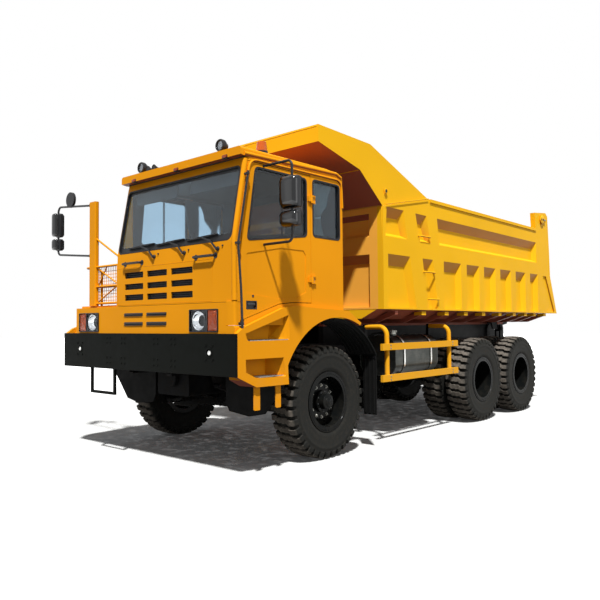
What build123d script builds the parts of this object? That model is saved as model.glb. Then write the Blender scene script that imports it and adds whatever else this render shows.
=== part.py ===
from build123d import *
from math import cos, radians, sqrt
import os

# Wide-body mining dump truck, stored parked with the bed down and the wheels straight.
# +Z is up, +X is the truck's left, -Y is its front. The origin is on the ground,
# in the middle of the truck's length and width. Every length is in millimetres.

os.makedirs("parts", exist_ok=True)

# ---- driving dimensions -------------------------------------------------------------
front_overhang = 1680
wheelbase = 4000
tandem_spacing = 1530
rear_overhang = 1900

tyre_diameter = 1370
tyre_width = 375
rim_flange_diameter = 728
rim_width = 300
rim_wall = 16
rim_well_depth = 46
front_wheel_x = 1384
dual_outer_x = 1440
dual_inner_x = 992
kingpin_inset = 200

frame_width = 860
frame_top = 1340
frame_height = 300
frame_flange = 95
frame_web = 16

bumper_width = 3420
bumper_bottom = 1093
bumper_top = 1534

cab_inset = 55
cab_width = 2205
cab_wall = 60
cab_top = 3400
cab_floor_top = 1780
windshield_bottom = 2520
windshield_top = 3310
door_gap = 8
door_thickness = 55
glass_thickness = 8
glass_clearance = 0.4

bed_half_width = 1580
bed_rib_depth = 78
bed_skin = 16
bed_front_offset = 1160
bed_edge_z = 1823
bed_floor_z = 1706
bed_top_front_z = 3481
bed_top_rear_z = 3458
canopy_lip_z = 4045
bed_pin_z = 1500
bed_pin_radius = 40
barrel_radius = 85
rod_radius = 50

running_clearance = 0.05
seat_clearance = 0.3

# ---- places worked out from the driving dimensions ----------------------------------
overall_length = front_overhang + wheelbase + tandem_spacing + rear_overhang
front_axle_y = front_overhang - overall_length / 2
middle_axle_y = front_axle_y + wheelbase
rear_axle_y = middle_axle_y + tandem_spacing
trunnion_y = (middle_axle_y + rear_axle_y) / 2
front_y = front_axle_y - front_overhang
rear_y = rear_axle_y + rear_overhang
axle_z = tyre_diameter / 2
rail_x = frame_width / 2
frame_bottom = frame_top - frame_height
half_width = bumper_width / 2
rim_barrel_radius = rim_flange_diameter / 2 - rim_well_depth
cab_left = half_width - cab_inset
cab_right = cab_left - cab_width
fender_skin_x = cab_left + 6


def back(distance):
    """A place along the truck, given as its distance behind the front axle."""
    return front_axle_y + distance


def behind(points):
    """An outline of (distance behind the front axle, height) as places along the truck."""
    return [(back(distance), z) for distance, z in points]


def before_tail(distance):
    """A place along the truck, given as its distance before the rear end."""
    return rear_y - distance


def side_plane(x):
    """Sketches on this plane take (y, z), and a positive extrusion runs to the left."""
    return Plane.YZ.offset(x)


def front_plane(y):
    """Sketches on this plane take (x, z), and a positive extrusion runs to the front."""
    return Plane.XZ.offset(-y)


def block(x, y, z, mode=Mode.ADD):
    """An upright box between two limits on each axis."""
    with Locations(((x[0] + x[1]) / 2, (y[0] + y[1]) / 2, (z[0] + z[1]) / 2)):
        Box(abs(x[1] - x[0]), abs(y[1] - y[0]), abs(z[1] - z[0]), mode=mode)


def prism(plane, points, depth, mode=Mode.ADD, radius=0):
    """An outline on a plane, with its corners rounded if asked, pushed out by a depth."""
    with BuildSketch(plane) as outline:
        Polygon(*points, align=None)
        if radius > 0:
            fillet(outline.vertices(), radius)
    extrude(outline.sketch, amount=depth, mode=mode)


def rounded_plate(plane, low, high, radius, depth, mode=Mode.ADD):
    """A round-cornered plate between two corners on a plane, pushed out by a depth."""
    with BuildSketch(plane) as outline:
        with Locations(((low[0] + high[0]) / 2, (low[1] + high[1]) / 2)):
            RectangleRounded(abs(high[0] - low[0]), abs(high[1] - low[1]), radius)
    extrude(outline.sketch, amount=depth, mode=mode)


def sloped_pocket(outer_plane, outer, inner_plane, inner):
    """A pocket with sloping walls, from its mouth's outline to its floor's."""
    with BuildSketch(outer_plane) as mouth:
        Polygon(*outer, align=None)
    with BuildSketch(inner_plane) as bottom:
        Polygon(*inner, align=None)
    loft([mouth.sketch, bottom.sketch], ruled=True, mode=Mode.SUBTRACT)


def rod(start, end, radius, mode=Mode.ADD):
    """A round bar from one point to another."""
    direction = Vector(*end) - Vector(*start)
    with BuildSketch(Plane(origin=start, z_dir=direction)) as section:
        Circle(radius)
    extrude(section.sketch, amount=direction.length, mode=mode)


def bent_tube(points, radius, bend):
    """A round tube that follows straight runs joined by tangent bends."""
    with BuildLine() as route:
        FilletPolyline(*points, radius=bend)
    start = Plane(origin=points[0], z_dir=Vector(*points[1]) - Vector(*points[0]))
    with BuildSketch(start) as section:
        Circle(radius)
    sweep(section.sketch, path=route.wire())


def channel_section(low, high, back_face, open_face, wall):
    """A channel's outline as (across, height), with its web at the back face."""
    step = wall if open_face > back_face else -wall
    return [
        (back_face, low),
        (back_face, high),
        (open_face, high),
        (open_face, high - wall),
        (back_face + step, high - wall),
        (back_face + step, low + wall),
        (open_face, low + wall),
        (open_face, low),
    ]


def finish(piece, name):
    piece.part.label = name
    export_step(piece.part, f"parts/{name}.step")


# ---- chassis ------------------------------------------------------------------------
bed_pin_y = rear_axle_y + 1220
tail_beam_half = 90
frame_front_y = front_y + 180
frame_rear_y = bed_pin_y - tail_beam_half - seat_clearance
lug_x = rail_x + 200
hoist_x = rail_x - 210
lug_half = 30
ear_thickness = 30
ear_gap = 1
tow_bore_radius = 30
tow_bore_y = bed_pin_y + 180
hoist_base = (trunnion_y - 2065, frame_bottom - 70)
hoist_eye = (trunnion_y + 235, bed_floor_z - 226)
hoist_pin_radius = 30
hoist_plate_x = (hoist_x + 115, hoist_x + 145)
tank_strap_distances = (1880, 2620)
tank_seat_z = frame_bottom - 172
guard_post_distances = (1250, 2950)
guard_tube_z = 1580
guard_bracket_x = rail_x + 785
spring_eye_distance = 790
spring_eye_z = frame_bottom - 162
spring_eye_radius = 34

with BuildPart() as chassis_rails:
    for side in (1, -1):
        section = channel_section(
            frame_bottom, frame_top, side * rail_x, side * (rail_x - frame_flange), frame_web
        )
        prism(front_plane(frame_front_y), section, frame_front_y - frame_rear_y)
finish(chassis_rails, "chassis_rails")

with BuildPart() as chassis_crossmembers:
    reach = rail_x - frame_web - seat_clearance
    # place of the web, width of the flanges, lowest and highest level above the rails' bottom
    for web_y, flange, low, high in (
        (back(-1450), 90, 50, 250),
        (back(850), 90, 20, 260),
        (hoist_base[0] - 120, 80, 30, 110),
        (trunnion_y, 120, 20, 190),
        (rear_axle_y + 420, 90, 30, 250),
    ):
        section = channel_section(frame_bottom + low, frame_bottom + high, web_y, web_y + flange, 12)
        prism(side_plane(-reach), section, 2 * reach)
finish(chassis_crossmembers, "chassis_crossmembers")

with BuildPart() as chassis_brackets:
    top = frame_bottom - seat_clearance
    for side in (1, -1):
        # tapered spring hangers under the rail
        for end in (-1, 1):
            y = back(end * spring_eye_distance)
            hanger = [
                (y - 90, top),
                (y + 90, top),
                (y + 40, spring_eye_z + spring_eye_radius + seat_clearance),
                (y - 40, spring_eye_z + spring_eye_radius + seat_clearance),
            ]
            prism(side_plane(side * (rail_x - 45)), hanger, side * 45)
        # plates that hold the hoist's base pins
        low_x, high_x = hoist_plate_x
        base_y, base_z = hoist_base
        plate = [
            (base_y - 120, top),
            (base_y + 120, top),
            (base_y + 60, base_z - 62),
            (base_y - 60, base_z - 62),
        ]
        prism(side_plane(side * low_x), plate, side * (high_x - low_x))
        rod(
            (side * (low_x - 5), base_y, base_z),
            (side * (high_x + 5), base_y, base_z),
            hoist_pin_radius + running_clearance,
            Mode.SUBTRACT,
        )
        # gusseted arms under the tanks
        root = rail_x + seat_clearance
        for distance in tank_strap_distances:
            arm = [
                (side * root, tank_seat_z - 48),
                (side * (rail_x + 970), tank_seat_z - 30),
                (side * (rail_x + 970), tank_seat_z),
                (side * (rail_x + 340), tank_seat_z),
                (side * (rail_x + 40), frame_top - 50),
                (side * root, frame_top - 50),
            ]
            prism(front_plane(back(distance - 30)), arm, -60)
        # arms whose upright ends carry the side guards
        for distance in guard_post_distances:
            arm = [
                (side * root, 1230),
                (side * guard_bracket_x, 1230),
                (side * guard_bracket_x, guard_tube_z + 35),
                (side * (guard_bracket_x - 40), guard_tube_z + 35),
                (side * (guard_bracket_x - 60), 1310),
                (side * root, 1310),
            ]
            prism(front_plane(back(distance - 30)), arm, -60)
finish(chassis_brackets, "chassis_brackets")

with BuildPart() as chassis_tail:
    beam_reach = lug_x + 100
    block(
        (-beam_reach, beam_reach),
        (bed_pin_y - tail_beam_half, bed_pin_y + tail_beam_half),
        (frame_bottom, frame_top - 40),
    )
    # pairs of ears with a pin through them carry the bed's lugs
    ear = [
        (bed_pin_y - 85, frame_top - 60),
        (bed_pin_y + 85, frame_top - 60),
        (bed_pin_y + 60, bed_pin_z + 55),
        (bed_pin_y + 35, bed_pin_z + 75),
        (bed_pin_y - 35, bed_pin_z + 75),
        (bed_pin_y - 60, bed_pin_z + 55),
    ]
    ear_inner = lug_x - lug_half - ear_gap
    ear_outer = lug_x + lug_half + ear_gap
    for side in (1, -1):
        prism(side_plane(side * ear_inner), ear, -side * ear_thickness)
        prism(side_plane(side * ear_outer), ear, side * ear_thickness)
        rod(
            (side * (ear_inner - ear_thickness - 15), bed_pin_y, bed_pin_z),
            (side * (ear_outer + ear_thickness + 15), bed_pin_y, bed_pin_z),
            bed_pin_radius,
        )
    # towing jaw with rounded plates
    for z in (1090, 1200):
        with BuildSketch(Plane.XY.offset(z)) as jaw_plate:
            with Locations((0, bed_pin_y + 150)):
                RectangleRounded(140, 200, 45)
        extrude(jaw_plate.sketch, amount=40)
    with Locations((0, tow_bore_y, 1165)):
        Cylinder(tow_bore_radius, 200, mode=Mode.SUBTRACT)
finish(chassis_tail, "chassis_tail")

# ---- bumper, lower front panel and headlamps ----------------------------------------
bumper_depth = 150
bumper_end_depth = 36
bumper_wall = 12
bumper_bolt_height = 8
bumper_bolt_radius = 12
bumper_face_y = front_y + bumper_bolt_height
bumper_edge_radius = 10
step_box_inner_x = half_width - 260
bumper_box_x = step_box_inner_x - 20
tow_eye_x = 1300
tow_eye_z = 1333
tow_eye_radius = 38
tow_eye_length = 129
step_frame_x = (-1095, -540)
step_frame_bottom = 770
step_frame_bar = 34

with BuildPart() as front_bumper:
    block((-half_width, half_width), (bumper_face_y, front_y + bumper_end_depth), (bumper_bottom, bumper_top))
    fillet(front_bumper.faces().sort_by(Axis.Y)[0].edges(), bumper_edge_radius)
    block(
        (-bumper_box_x, bumper_box_x),
        (bumper_face_y + bumper_wall, front_y + bumper_depth),
        (bumper_bottom, bumper_top),
    )
    block(
        (bumper_wall - bumper_box_x, bumper_box_x - bumper_wall),
        (bumper_face_y + bumper_wall, front_y + bumper_depth + 1),
        (bumper_bottom + bumper_wall, bumper_top - bumper_wall),
        Mode.SUBTRACT,
    )
    for side in (1, -1):
        # round towing sockets with their bosses behind the face
        face = (side * tow_eye_x, bumper_face_y + bumper_wall / 2, tow_eye_z)
        rod(face, (side * tow_eye_x, front_y + tow_eye_length, tow_eye_z), tow_eye_radius + 24)
        rod(
            (side * tow_eye_x, front_y - 5, tow_eye_z),
            (side * tow_eye_x, front_y + tow_eye_length + 1, tow_eye_z),
            tow_eye_radius,
            Mode.SUBTRACT,
        )
        # round bolt heads at the corners of each socket's flange
        with BuildSketch(front_plane(bumper_face_y + bumper_wall / 2)) as bolt_heads:
            with Locations((side * tow_eye_x, tow_eye_z)):
                with GridLocations(2 * tow_eye_radius + 34, 2 * tow_eye_radius + 74, 2, 2):
                    Circle(bumper_bolt_radius)
        extrude(bolt_heads.sketch, amount=bumper_bolt_height + bumper_wall / 2)
        # brackets that bolt the bumper to the frame rails
        bracket = [
            (bumper_face_y + bumper_wall - 1, bumper_top - 20),
            (frame_front_y - seat_clearance, frame_top),
            (frame_front_y - seat_clearance, frame_bottom + 70),
            (bumper_face_y + bumper_wall - 1, bumper_bottom + 10),
        ]
        prism(side_plane(side * (rail_x - 20)), bracket, -side * 90)
    # hanging step of flat bar under the right half
    outer_x, inner_x = step_frame_x
    outer = [
        (outer_x, bumper_bottom + 6),
        (outer_x, step_frame_bottom),
        (inner_x, step_frame_bottom),
        (inner_x, bumper_bottom + 6),
    ]
    opening = [
        (outer_x + step_frame_bar, bumper_bottom - 1),
        (outer_x + step_frame_bar, step_frame_bottom + step_frame_bar),
        (inner_x - step_frame_bar, step_frame_bottom + step_frame_bar),
        (inner_x - step_frame_bar, bumper_bottom - 1),
    ]
    prism(front_plane(front_y + 75), outer, 30)
    prism(front_plane(front_y + 76), opening, 32, Mode.SUBTRACT)
finish(front_bumper, "front_bumper")

panel_face_y = front_y + 60
panel_thickness = 20
panel_left = half_width - 190
panel_right = 230 - half_width
panel_top = 1862
panel_foot = bumper_top + seat_clearance
lamp_outer_x = 1392
lamp_inner_x = 922
lamp_low_z = 1552
lamp_high_z = 1797
lamp_corner_radius = 14
slot_width = 385
slot_pitch = 462
slot_first_x = cab_right + 202
slot_radius = 8


def slot_pattern(levels, columns, plane, depth):
    """Rows of round-cornered ventilation slots cut through a panel."""
    for low, high in levels:
        with BuildSketch(plane) as slots:
            centre_x = slot_first_x + slot_width / 2 + slot_pitch * (columns - 1) / 2
            with Locations((centre_x, (low + high) / 2)):
                with GridLocations(slot_pitch, 1, columns, 1):
                    RectangleRounded(slot_width, high - low, slot_radius)
        extrude(slots.sketch, amount=depth, mode=Mode.SUBTRACT)


with BuildPart() as front_panel:
    block(
        (panel_right, panel_left),
        (panel_face_y, panel_face_y + panel_thickness),
        (panel_foot, panel_top),
    )
    # lips turned back along the bumper and under the platform
    block(
        (panel_right, panel_left),
        (panel_face_y + panel_thickness - 1, panel_face_y + 70),
        (panel_foot, bumper_top + 14),
    )
    block(
        (panel_right, cab_right - 10),
        (panel_face_y + panel_thickness - 1, panel_face_y + 130),
        (panel_top - 12, panel_top),
    )
    # low rounded end over the bumper's left end
    low_end = [
        (panel_left - 1, panel_foot),
        (fender_skin_x - seat_clearance, panel_foot),
        (fender_skin_x - seat_clearance, bumper_top + 84),
        (panel_left - 1, bumper_top + 84),
    ]
    prism(front_plane(panel_face_y + 55), low_end, 72)
    fillet(front_panel.edges().filter_by(Axis.Y).group_by(Axis.X)[-1].sort_by(Axis.Z)[-1], 24)
    slot_pattern(((1628, 1670), (1741, 1779)), 2, front_plane(panel_face_y + panel_thickness + 1), 22)
    for side in (1, -1):
        rounded_plate(
            front_plane(panel_face_y + panel_thickness + 1),
            (side * lamp_inner_x, lamp_low_z),
            (side * lamp_outer_x, lamp_high_z),
            lamp_corner_radius,
            panel_thickness + 2,
            Mode.SUBTRACT,
        )
finish(front_panel, "front_panel")

lamp_divider_x = 1220
reflector_radius = 100

with BuildPart() as headlamps:
    lamp_z = (lamp_low_z + lamp_high_z) / 2
    for side in (1, -1):
        for rear, length, inset, mode in (
            (120, 118, seat_clearance, Mode.ADD),
            (40, 45, 12, Mode.SUBTRACT),
        ):
            rounded_plate(
                front_plane(panel_face_y + rear),
                (side * (lamp_inner_x + inset), lamp_low_z + inset),
                (side * (lamp_outer_x - inset), lamp_high_z - inset),
                lamp_corner_radius - seat_clearance,
                length,
                mode,
            )
        # divider between the headlamp and the turn lamp, and the round reflector
        block(
            (side * (lamp_divider_x - 6), side * (lamp_divider_x + 6)),
            (panel_face_y + 8, panel_face_y + 41),
            (lamp_low_z + 11, lamp_high_z - 11),
        )
        reflector_x = side * (lamp_inner_x + lamp_divider_x) / 2
        rod(
            (reflector_x, panel_face_y + 41, lamp_z),
            (reflector_x, panel_face_y + 14, lamp_z),
            reflector_radius,
        )
finish(headlamps, "headlamps")

# ---- cab ----------------------------------------------------------------------------
cab_rear_y = back(174)
cab_step_y = back(-550)
cab_sill_z = 1620
cab_bottom = 1720
front_wall = [  # distance behind the front axle, height: the front wall's outline upwards
    (-1495, cab_sill_z),
    (-1495, 1866),
    (-1620, 1866),
    (-1606, windshield_bottom - 10),
    (-1450, windshield_top + 30),
    (-1436, cab_top),
]
pillar_radius = 45
door_front = [(-1552, 1665), (-1557, 2116), (-1527, 2715), (-1434, 3355)]
door_rear_distance = -430
door_head_z = 3360
door_sill = [(door_rear_distance, 1866), (-760, 1866), (-970, 1845)]
door_rear_y = back(-425)
right_door_front = -1400
right_door_bottom = 1930
hinge_axis_out = 18
hinge_pin_radius = 7
hinge_barrel_radius = 14
hinge_levels = (2140, 3080)
shield_left = cab_left - 84
shield_right = cab_right + 50
shield_corner_radius = 60
window_corner_radius = 50
quarter_low = (back(-385), 2650)
quarter_high = (back(115), 3320)
rear_window_inset = 350
rear_window_levels = (2650, 3250)
hatch_x = (cab_right + 50, cab_left - 365)
hatch_levels = (1876, 2330)


def shield_y(z, depth):
    """Place of the sloping front wall at a height, a depth behind its face."""
    low_y, low_z = front_wall[3]
    high_y, high_z = front_wall[4]
    return back(low_y + (high_y - low_y) * (z - low_z) / (high_z - low_z)) + depth


def door_outline(inset, top):
    """Outline of the left door or of its opening in side view, with an inset all round."""
    front = [(back(distance) + inset, z) for distance, z in door_front[1:3]]
    sill = [(back(distance), z + inset) for distance, z in door_sill[1:]]
    return [
        (back(door_front[0][0]) + inset, door_front[0][1] + inset),
        *front,
        (back(door_front[3][0]) + inset, top - inset),
        (door_rear_y - inset, top - inset),
        (door_rear_y - inset, door_sill[0][1] + inset),
        *sill,
    ]


def right_door_outline(inset):
    """Outline of the right door or of its opening in side view, with an inset all round."""
    return [
        (back(right_door_front) + inset, right_door_bottom + inset),
        (back(right_door_front) + inset, door_head_z - inset),
        (door_rear_y - inset, door_head_z - inset),
        (door_rear_y - inset, right_door_bottom + inset),
    ]


with BuildPart() as cab_shell:
    outer = behind(front_wall) + [
        (cab_rear_y, cab_top),
        (cab_rear_y, cab_bottom),
        (cab_step_y + 200, cab_bottom),
        (cab_step_y, cab_sill_z),
    ]
    prism(side_plane(cab_right), outer, cab_width)
    # rounded front pillars
    side_edges = cab_shell.edges().group_by(Axis.X)[-1] + cab_shell.edges().group_by(Axis.X)[0]
    pillars = side_edges.filter_by(
        lambda edge: edge.center().Y < back(-1440) and edge.center().Z > 1900 and edge.length > 500
    )
    fillet(pillars, pillar_radius)
    hollow = [
        (back(-1435), cab_sill_z + cab_wall),
        (back(-1435), 1866),
        (back(-1560), 1880),
        (back(-1545), windshield_bottom - 10),
        (back(-1390), windshield_top + 30),
        (back(-1376), cab_top + 1),
        (cab_rear_y - cab_wall, cab_top + 1),
        (cab_rear_y - cab_wall, cab_floor_top),
        (cab_step_y + 180, cab_floor_top),
        (cab_step_y - 20, cab_sill_z + cab_wall),
    ]
    prism(side_plane(cab_right + cab_wall), hollow, cab_width - 2 * cab_wall, Mode.SUBTRACT)
    # windshield, door openings, quarter windows and rear window
    rounded_plate(
        front_plane(back(-1300)),
        (shield_right, windshield_bottom),
        (shield_left, windshield_top),
        shield_corner_radius,
        400,
        Mode.SUBTRACT,
    )
    prism(side_plane(cab_left - cab_wall - 2), door_outline(0, door_head_z), cab_wall + 4, Mode.SUBTRACT)
    prism(side_plane(cab_right - 2), right_door_outline(0), cab_wall + 4, Mode.SUBTRACT)
    rounded_plate(
        side_plane(cab_right - 1),
        quarter_low,
        quarter_high,
        window_corner_radius,
        cab_width + 2,
        Mode.SUBTRACT,
    )
    rounded_plate(
        front_plane(cab_rear_y + 1),
        (cab_right + rear_window_inset, rear_window_levels[0]),
        (cab_left - rear_window_inset, rear_window_levels[1]),
        window_corner_radius,
        cab_wall + 2,
        Mode.SUBTRACT,
    )
    # hinges: a leaf on the wall, two ears and a pin at each level
    for face_x, out in ((cab_left, 1), (cab_right, -1)):
        axis_x = face_x + out * hinge_axis_out
        for level in hinge_levels:
            block(
                (face_x - out, face_x + out * 10),
                (door_rear_y + 17, door_rear_y + 75),
                (level - 50, level + 50),
            )
            for low in (level - 46, level + 31):
                rod((axis_x, door_rear_y, low), (axis_x, door_rear_y, low + 15), hinge_barrel_radius)
                block(
                    (face_x + out * 8, axis_x + out * 6),
                    (door_rear_y, door_rear_y + 60),
                    (low, low + 15),
                )
            rod(
                (axis_x, door_rear_y, level - 40),
                (axis_x, door_rear_y, level + 40),
                hinge_pin_radius,
            )
    # recess for the grille hatch
    block(hatch_x, (back(-1640), back(-1580)), hatch_levels, Mode.SUBTRACT)
finish(cab_shell, "cab_shell")

with BuildPart() as grille_hatch:
    gap = 3
    rounded_plate(
        front_plane(back(-1580) - seat_clearance),
        (hatch_x[0] + gap, hatch_levels[0] + gap),
        (hatch_x[1] - gap, hatch_levels[1] - gap),
        12,
        34,
    )
    slot_pattern(
        ((1932, 2004), (2064, 2135), (2202, 2273)),
        3,
        front_plane(back(-1570)),
        60,
    )
finish(grille_hatch, "grille_hatch")

visor_front = -1530
visor_low_z = cab_top + 10
roof_rise = 100
roof_edge_radius = 34
gutter_radius = 22

with BuildPart() as cab_roof:
    section = [
        (back(-1460), cab_top + seat_clearance),
        (back(visor_front), visor_low_z),
        (back(visor_front), cab_top + roof_rise),
        (back(-100), cab_top + roof_rise),
        (back(60), cab_top + 82),
        (cab_rear_y, cab_top + 20),
        (cab_rear_y, cab_top + seat_clearance),
    ]
    prism(side_plane(cab_right + 2), section, cab_width - 4)
    ends = cab_roof.edges().group_by(Axis.X)[-1] + cab_roof.edges().group_by(Axis.X)[0]
    fillet(ends.filter_by(lambda edge: edge.center().Z > cab_top + 85), roof_edge_radius)
    # gutters that turn down round the rear corners
    for gutter_x in (cab_left - 6, cab_right + 6):
        rod(
            (gutter_x, back(-1480), cab_top + 25),
            (gutter_x, back(53), cab_top + 60),
            gutter_radius,
        )
        rod(
            (gutter_x, back(53), cab_top + 60),
            (gutter_x, cab_rear_y - gutter_radius, cab_top + gutter_radius + 2),
            gutter_radius,
        )
        with Locations((gutter_x, back(53), cab_top + 60)):
            Sphere(gutter_radius)
finish(cab_roof, "cab_roof")

with BuildPart() as cab_glass:
    fit = glass_clearance
    low_z, high_z = windshield_bottom - 30, windshield_top + 30
    depth = 22
    sheet = [
        (shield_y(low_z, depth), low_z),
        (shield_y(high_z, depth), high_z),
        (shield_y(high_z, depth + glass_thickness), high_z),
        (shield_y(low_z, depth + glass_thickness), low_z),
    ]
    prism(side_plane(shield_right), sheet, shield_left - shield_right)
    rounded_plate(
        front_plane(back(-1300)),
        (shield_right + fit, windshield_bottom + fit),
        (shield_left - fit, windshield_top - fit),
        shield_corner_radius - fit,
        400,
        Mode.INTERSECT,
    )
    for x in (cab_left - 34, cab_right + 26):
        rounded_plate(
            side_plane(x),
            (quarter_low[0] + fit, quarter_low[1] + fit),
            (quarter_high[0] - fit, quarter_high[1] - fit),
            window_corner_radius - fit,
            glass_thickness,
        )
    rounded_plate(
        front_plane(cab_rear_y - 26),
        (cab_right + rear_window_inset + fit, rear_window_levels[0] + fit),
        (cab_left - rear_window_inset - fit, rear_window_levels[1] - fit),
        window_corner_radius - fit,
        glass_thickness,
    )
finish(cab_glass, "cab_glass")

# ---- doors --------------------------------------------------------------------------
window_head_z = 3307
window_rear_y = back(-500)
window_rear_low_z = 2640
left_window_front = ((-1446, 2517), (-1320, window_head_z))
right_window_front = ((-1290, window_rear_low_z), (-1230, window_head_z))
recess_depth = 25
left_recess = ((-1469, 1787), (-1311, 1878))
right_recess = ((-1370, 2050), (-1212, 2140))
pressing_depth = 6


def door_window(front, inset):
    """Outline of a door's window in side view, with an inset all round."""
    (low_distance, low_z), (high_distance, high_z) = front
    return [
        (back(low_distance) + inset, low_z + inset),
        (back(high_distance) + inset, high_z - inset),
        (window_rear_y - inset, high_z - inset),
        (window_rear_y - inset, window_rear_low_z + inset),
    ]


def door_barrels(face_x, out):
    """The door's hinge barrels, their arms and the pins' bores, on a wall facing out."""
    axis_x = face_x + out * hinge_axis_out
    for level in hinge_levels:
        low, high = level - 30, level + 30
        rod((axis_x, door_rear_y, low), (axis_x, door_rear_y, high), hinge_barrel_radius)
        block((face_x - out, axis_x), (door_rear_y - 60, door_rear_y - 9), (low, high))
        block((face_x + out * 8, axis_x + out * 6), (door_rear_y - 60, door_rear_y - 1), (low, high))
        rod(
            (axis_x, door_rear_y, low - 1),
            (axis_x, door_rear_y, high + 1),
            hinge_pin_radius + running_clearance,
            Mode.SUBTRACT,
        )


with BuildPart() as left_door:
    prism(side_plane(cab_left - door_thickness), door_outline(door_gap, door_head_z), door_thickness)
    # shallow pressing below the window
    pressing = behind(
        [
            (-1478, 1960),
            (-1454, 2377),
            (-936, 2471),
            (-560, 2471),
            (-520, 2420),
            (-520, 1990),
            (-700, 1925),
            (-1000, 1905),
        ]
    )
    prism(side_plane(cab_left - pressing_depth), pressing, pressing_depth + 1, Mode.SUBTRACT, 18)
    prism(
        side_plane(cab_left - door_thickness - 1),
        door_window(left_window_front, 0),
        door_thickness + 2,
        Mode.SUBTRACT,
        window_corner_radius,
    )
    (recess_front, recess_low), (recess_rear, recess_high) = left_recess
    block(
        (cab_left - recess_depth, cab_left + 1),
        (back(recess_front), back(recess_rear)),
        (recess_low, recess_high),
        Mode.SUBTRACT,
    )
    door_barrels(cab_left, 1)
finish(left_door, "left_door")

with BuildPart() as left_door_glass:
    prism(
        side_plane(cab_left - door_thickness / 2),
        door_window(left_window_front, glass_clearance),
        glass_thickness,
        radius=window_corner_radius - glass_clearance,
    )
finish(left_door_glass, "left_door_glass")

with BuildPart() as right_door:
    prism(side_plane(cab_right), right_door_outline(door_gap), door_thickness)
    prism(
        side_plane(cab_right - 1),
        door_window(right_window_front, 0),
        door_thickness + 2,
        Mode.SUBTRACT,
        window_corner_radius,
    )
    (recess_front, recess_low), (recess_rear, recess_high) = right_recess
    block(
        (cab_right - 1, cab_right + recess_depth),
        (back(recess_front), back(recess_rear)),
        (recess_low, recess_high),
        Mode.SUBTRACT,
    )
    door_barrels(cab_right, -1)
finish(right_door, "right_door")

with BuildPart() as right_door_glass:
    prism(
        side_plane(cab_right + door_thickness / 2),
        door_window(right_window_front, glass_clearance),
        glass_thickness,
        radius=window_corner_radius - glass_clearance,
    )
finish(right_door_glass, "right_door_glass")

# ---- step boxes over the front corners, and the wheel-arch liners -------------------
arch_radius = 1020
liner_radius = 1000
liner_thickness = 14
liner_inner_x = half_width - 515
liner_outer_x = fender_skin_x - seat_clearance
liner_front_angle = 64
liner_rear_angle = 58
step_box_corner = (-881, axle_z + 285)
strap_x = (1655, 1668)
strap_bottom = 726
flap_x = (1450, 1655)
flap_y = back(850)
flap_bottom = 440


def on_arch(distance, radius):
    """Height of a circle about the front axle at a distance behind it."""
    return axle_z + sqrt(radius**2 - distance**2)


with BuildPart() as left_step_box:
    skin_front = front_y + bumper_end_depth + seat_clearance
    with BuildSketch(side_plane(fender_skin_x)) as skin:
        with BuildLine():
            edge = Polyline(
                *behind([(-895, on_arch(-895, arch_radius)), step_box_corner, (-1379, 974)]),
                (skin_front, 1091),
                (skin_front, 1538),
                *behind(
                    [
                        (-1564, 1595),
                        (-964, 1807),
                        (-744, 1832),
                        (207, 1787),
                        (468, on_arch(440, arch_radius) + 30),
                        (440, on_arch(440, arch_radius)),
                    ]
                ),
            )
            ThreePointArc(edge @ 1, (back(0), axle_z + arch_radius), edge @ 0)
        make_face()
    extrude(amount=half_width - fender_skin_x)
    body = behind(
        [
            (-930, axle_z + 465),
            step_box_corner,
            (-1379, 974),
            (-1525, 1050),
            (-1525, 1526),
            (-1495, 1585),
            (-1080, 1585),
            (-930, axle_z + 565),
        ]
    )
    prism(side_plane(step_box_inner_x), body, fender_skin_x - step_box_inner_x + 1)
    # two boot recesses whose rear walls slope outwards
    mouth_x, floor_x = half_width + 1, half_width - 180
    sloped_pocket(
        side_plane(mouth_x),
        behind([(-1533, 1534), (-1503, 1462), (-1474, 1454), (-864, 1454), (-872, 1732)]),
        side_plane(floor_x),
        behind([(-1533, 1534), (-1503, 1462), (-1474, 1454), (-1032, 1454), (-974, 1701)]),
    )
    sloped_pocket(
        side_plane(mouth_x),
        behind([(-1530, 1268), (-962, 1268), (-926, 1072), (-937, 1060), (-1376, 1069), (-1526, 1136)]),
        side_plane(floor_x - 12),
        behind([(-1530, 1268), (-1058, 1268), (-1062, 1076), (-1070, 1064), (-1376, 1069), (-1526, 1136)]),
    )
    # two straps hang below the box
    for front, rear in ((-1373, -1286), (-1045, -968)):
        rounded_plate(
            side_plane(strap_x[0]),
            (back(front), strap_bottom),
            (back(rear), 1020),
            12,
            strap_x[1] - strap_x[0],
        )
finish(left_step_box, "left_step_box")

with BuildPart() as right_step_box:
    add(mirror(left_step_box.part, about=Plane.YZ, mode=Mode.PRIVATE))
    # this side has no lower step, and its box ends level with the bumper
    block(
        (-half_width, 200 - half_width),
        (back(-1535), back(-925)),
        (bumper_bottom, 1275),
    )
    block(
        (-half_width - 1, 1 - step_box_inner_x),
        (front_y - 1, back(-780)),
        (strap_bottom - 1, bumper_bottom),
        Mode.SUBTRACT,
    )
finish(right_step_box, "right_step_box")

with BuildPart() as mudguards:
    with BuildSketch(front_plane(front_axle_y)) as strip:
        with Locations(((liner_inner_x + liner_outer_x) / 2, axle_z + liner_radius + liner_thickness / 2)):
            Rectangle(liner_outer_x - liner_inner_x, liner_thickness)
    axle_line = Axis((0, front_axle_y, axle_z), (1, 0, 0))
    revolve(strip.sketch, axis=axle_line, revolution_arc=liner_front_angle)
    revolve(strip.sketch, axis=axle_line, revolution_arc=-liner_rear_angle)
    flap_top = axle_z + (liner_radius + liner_thickness) * cos(radians(liner_rear_angle)) + 4
    block(flap_x, (flap_y - 2, flap_y + 10), (flap_bottom, flap_top))
    mirror(about=Plane.YZ)
finish(mudguards, "mudguards")

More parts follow.
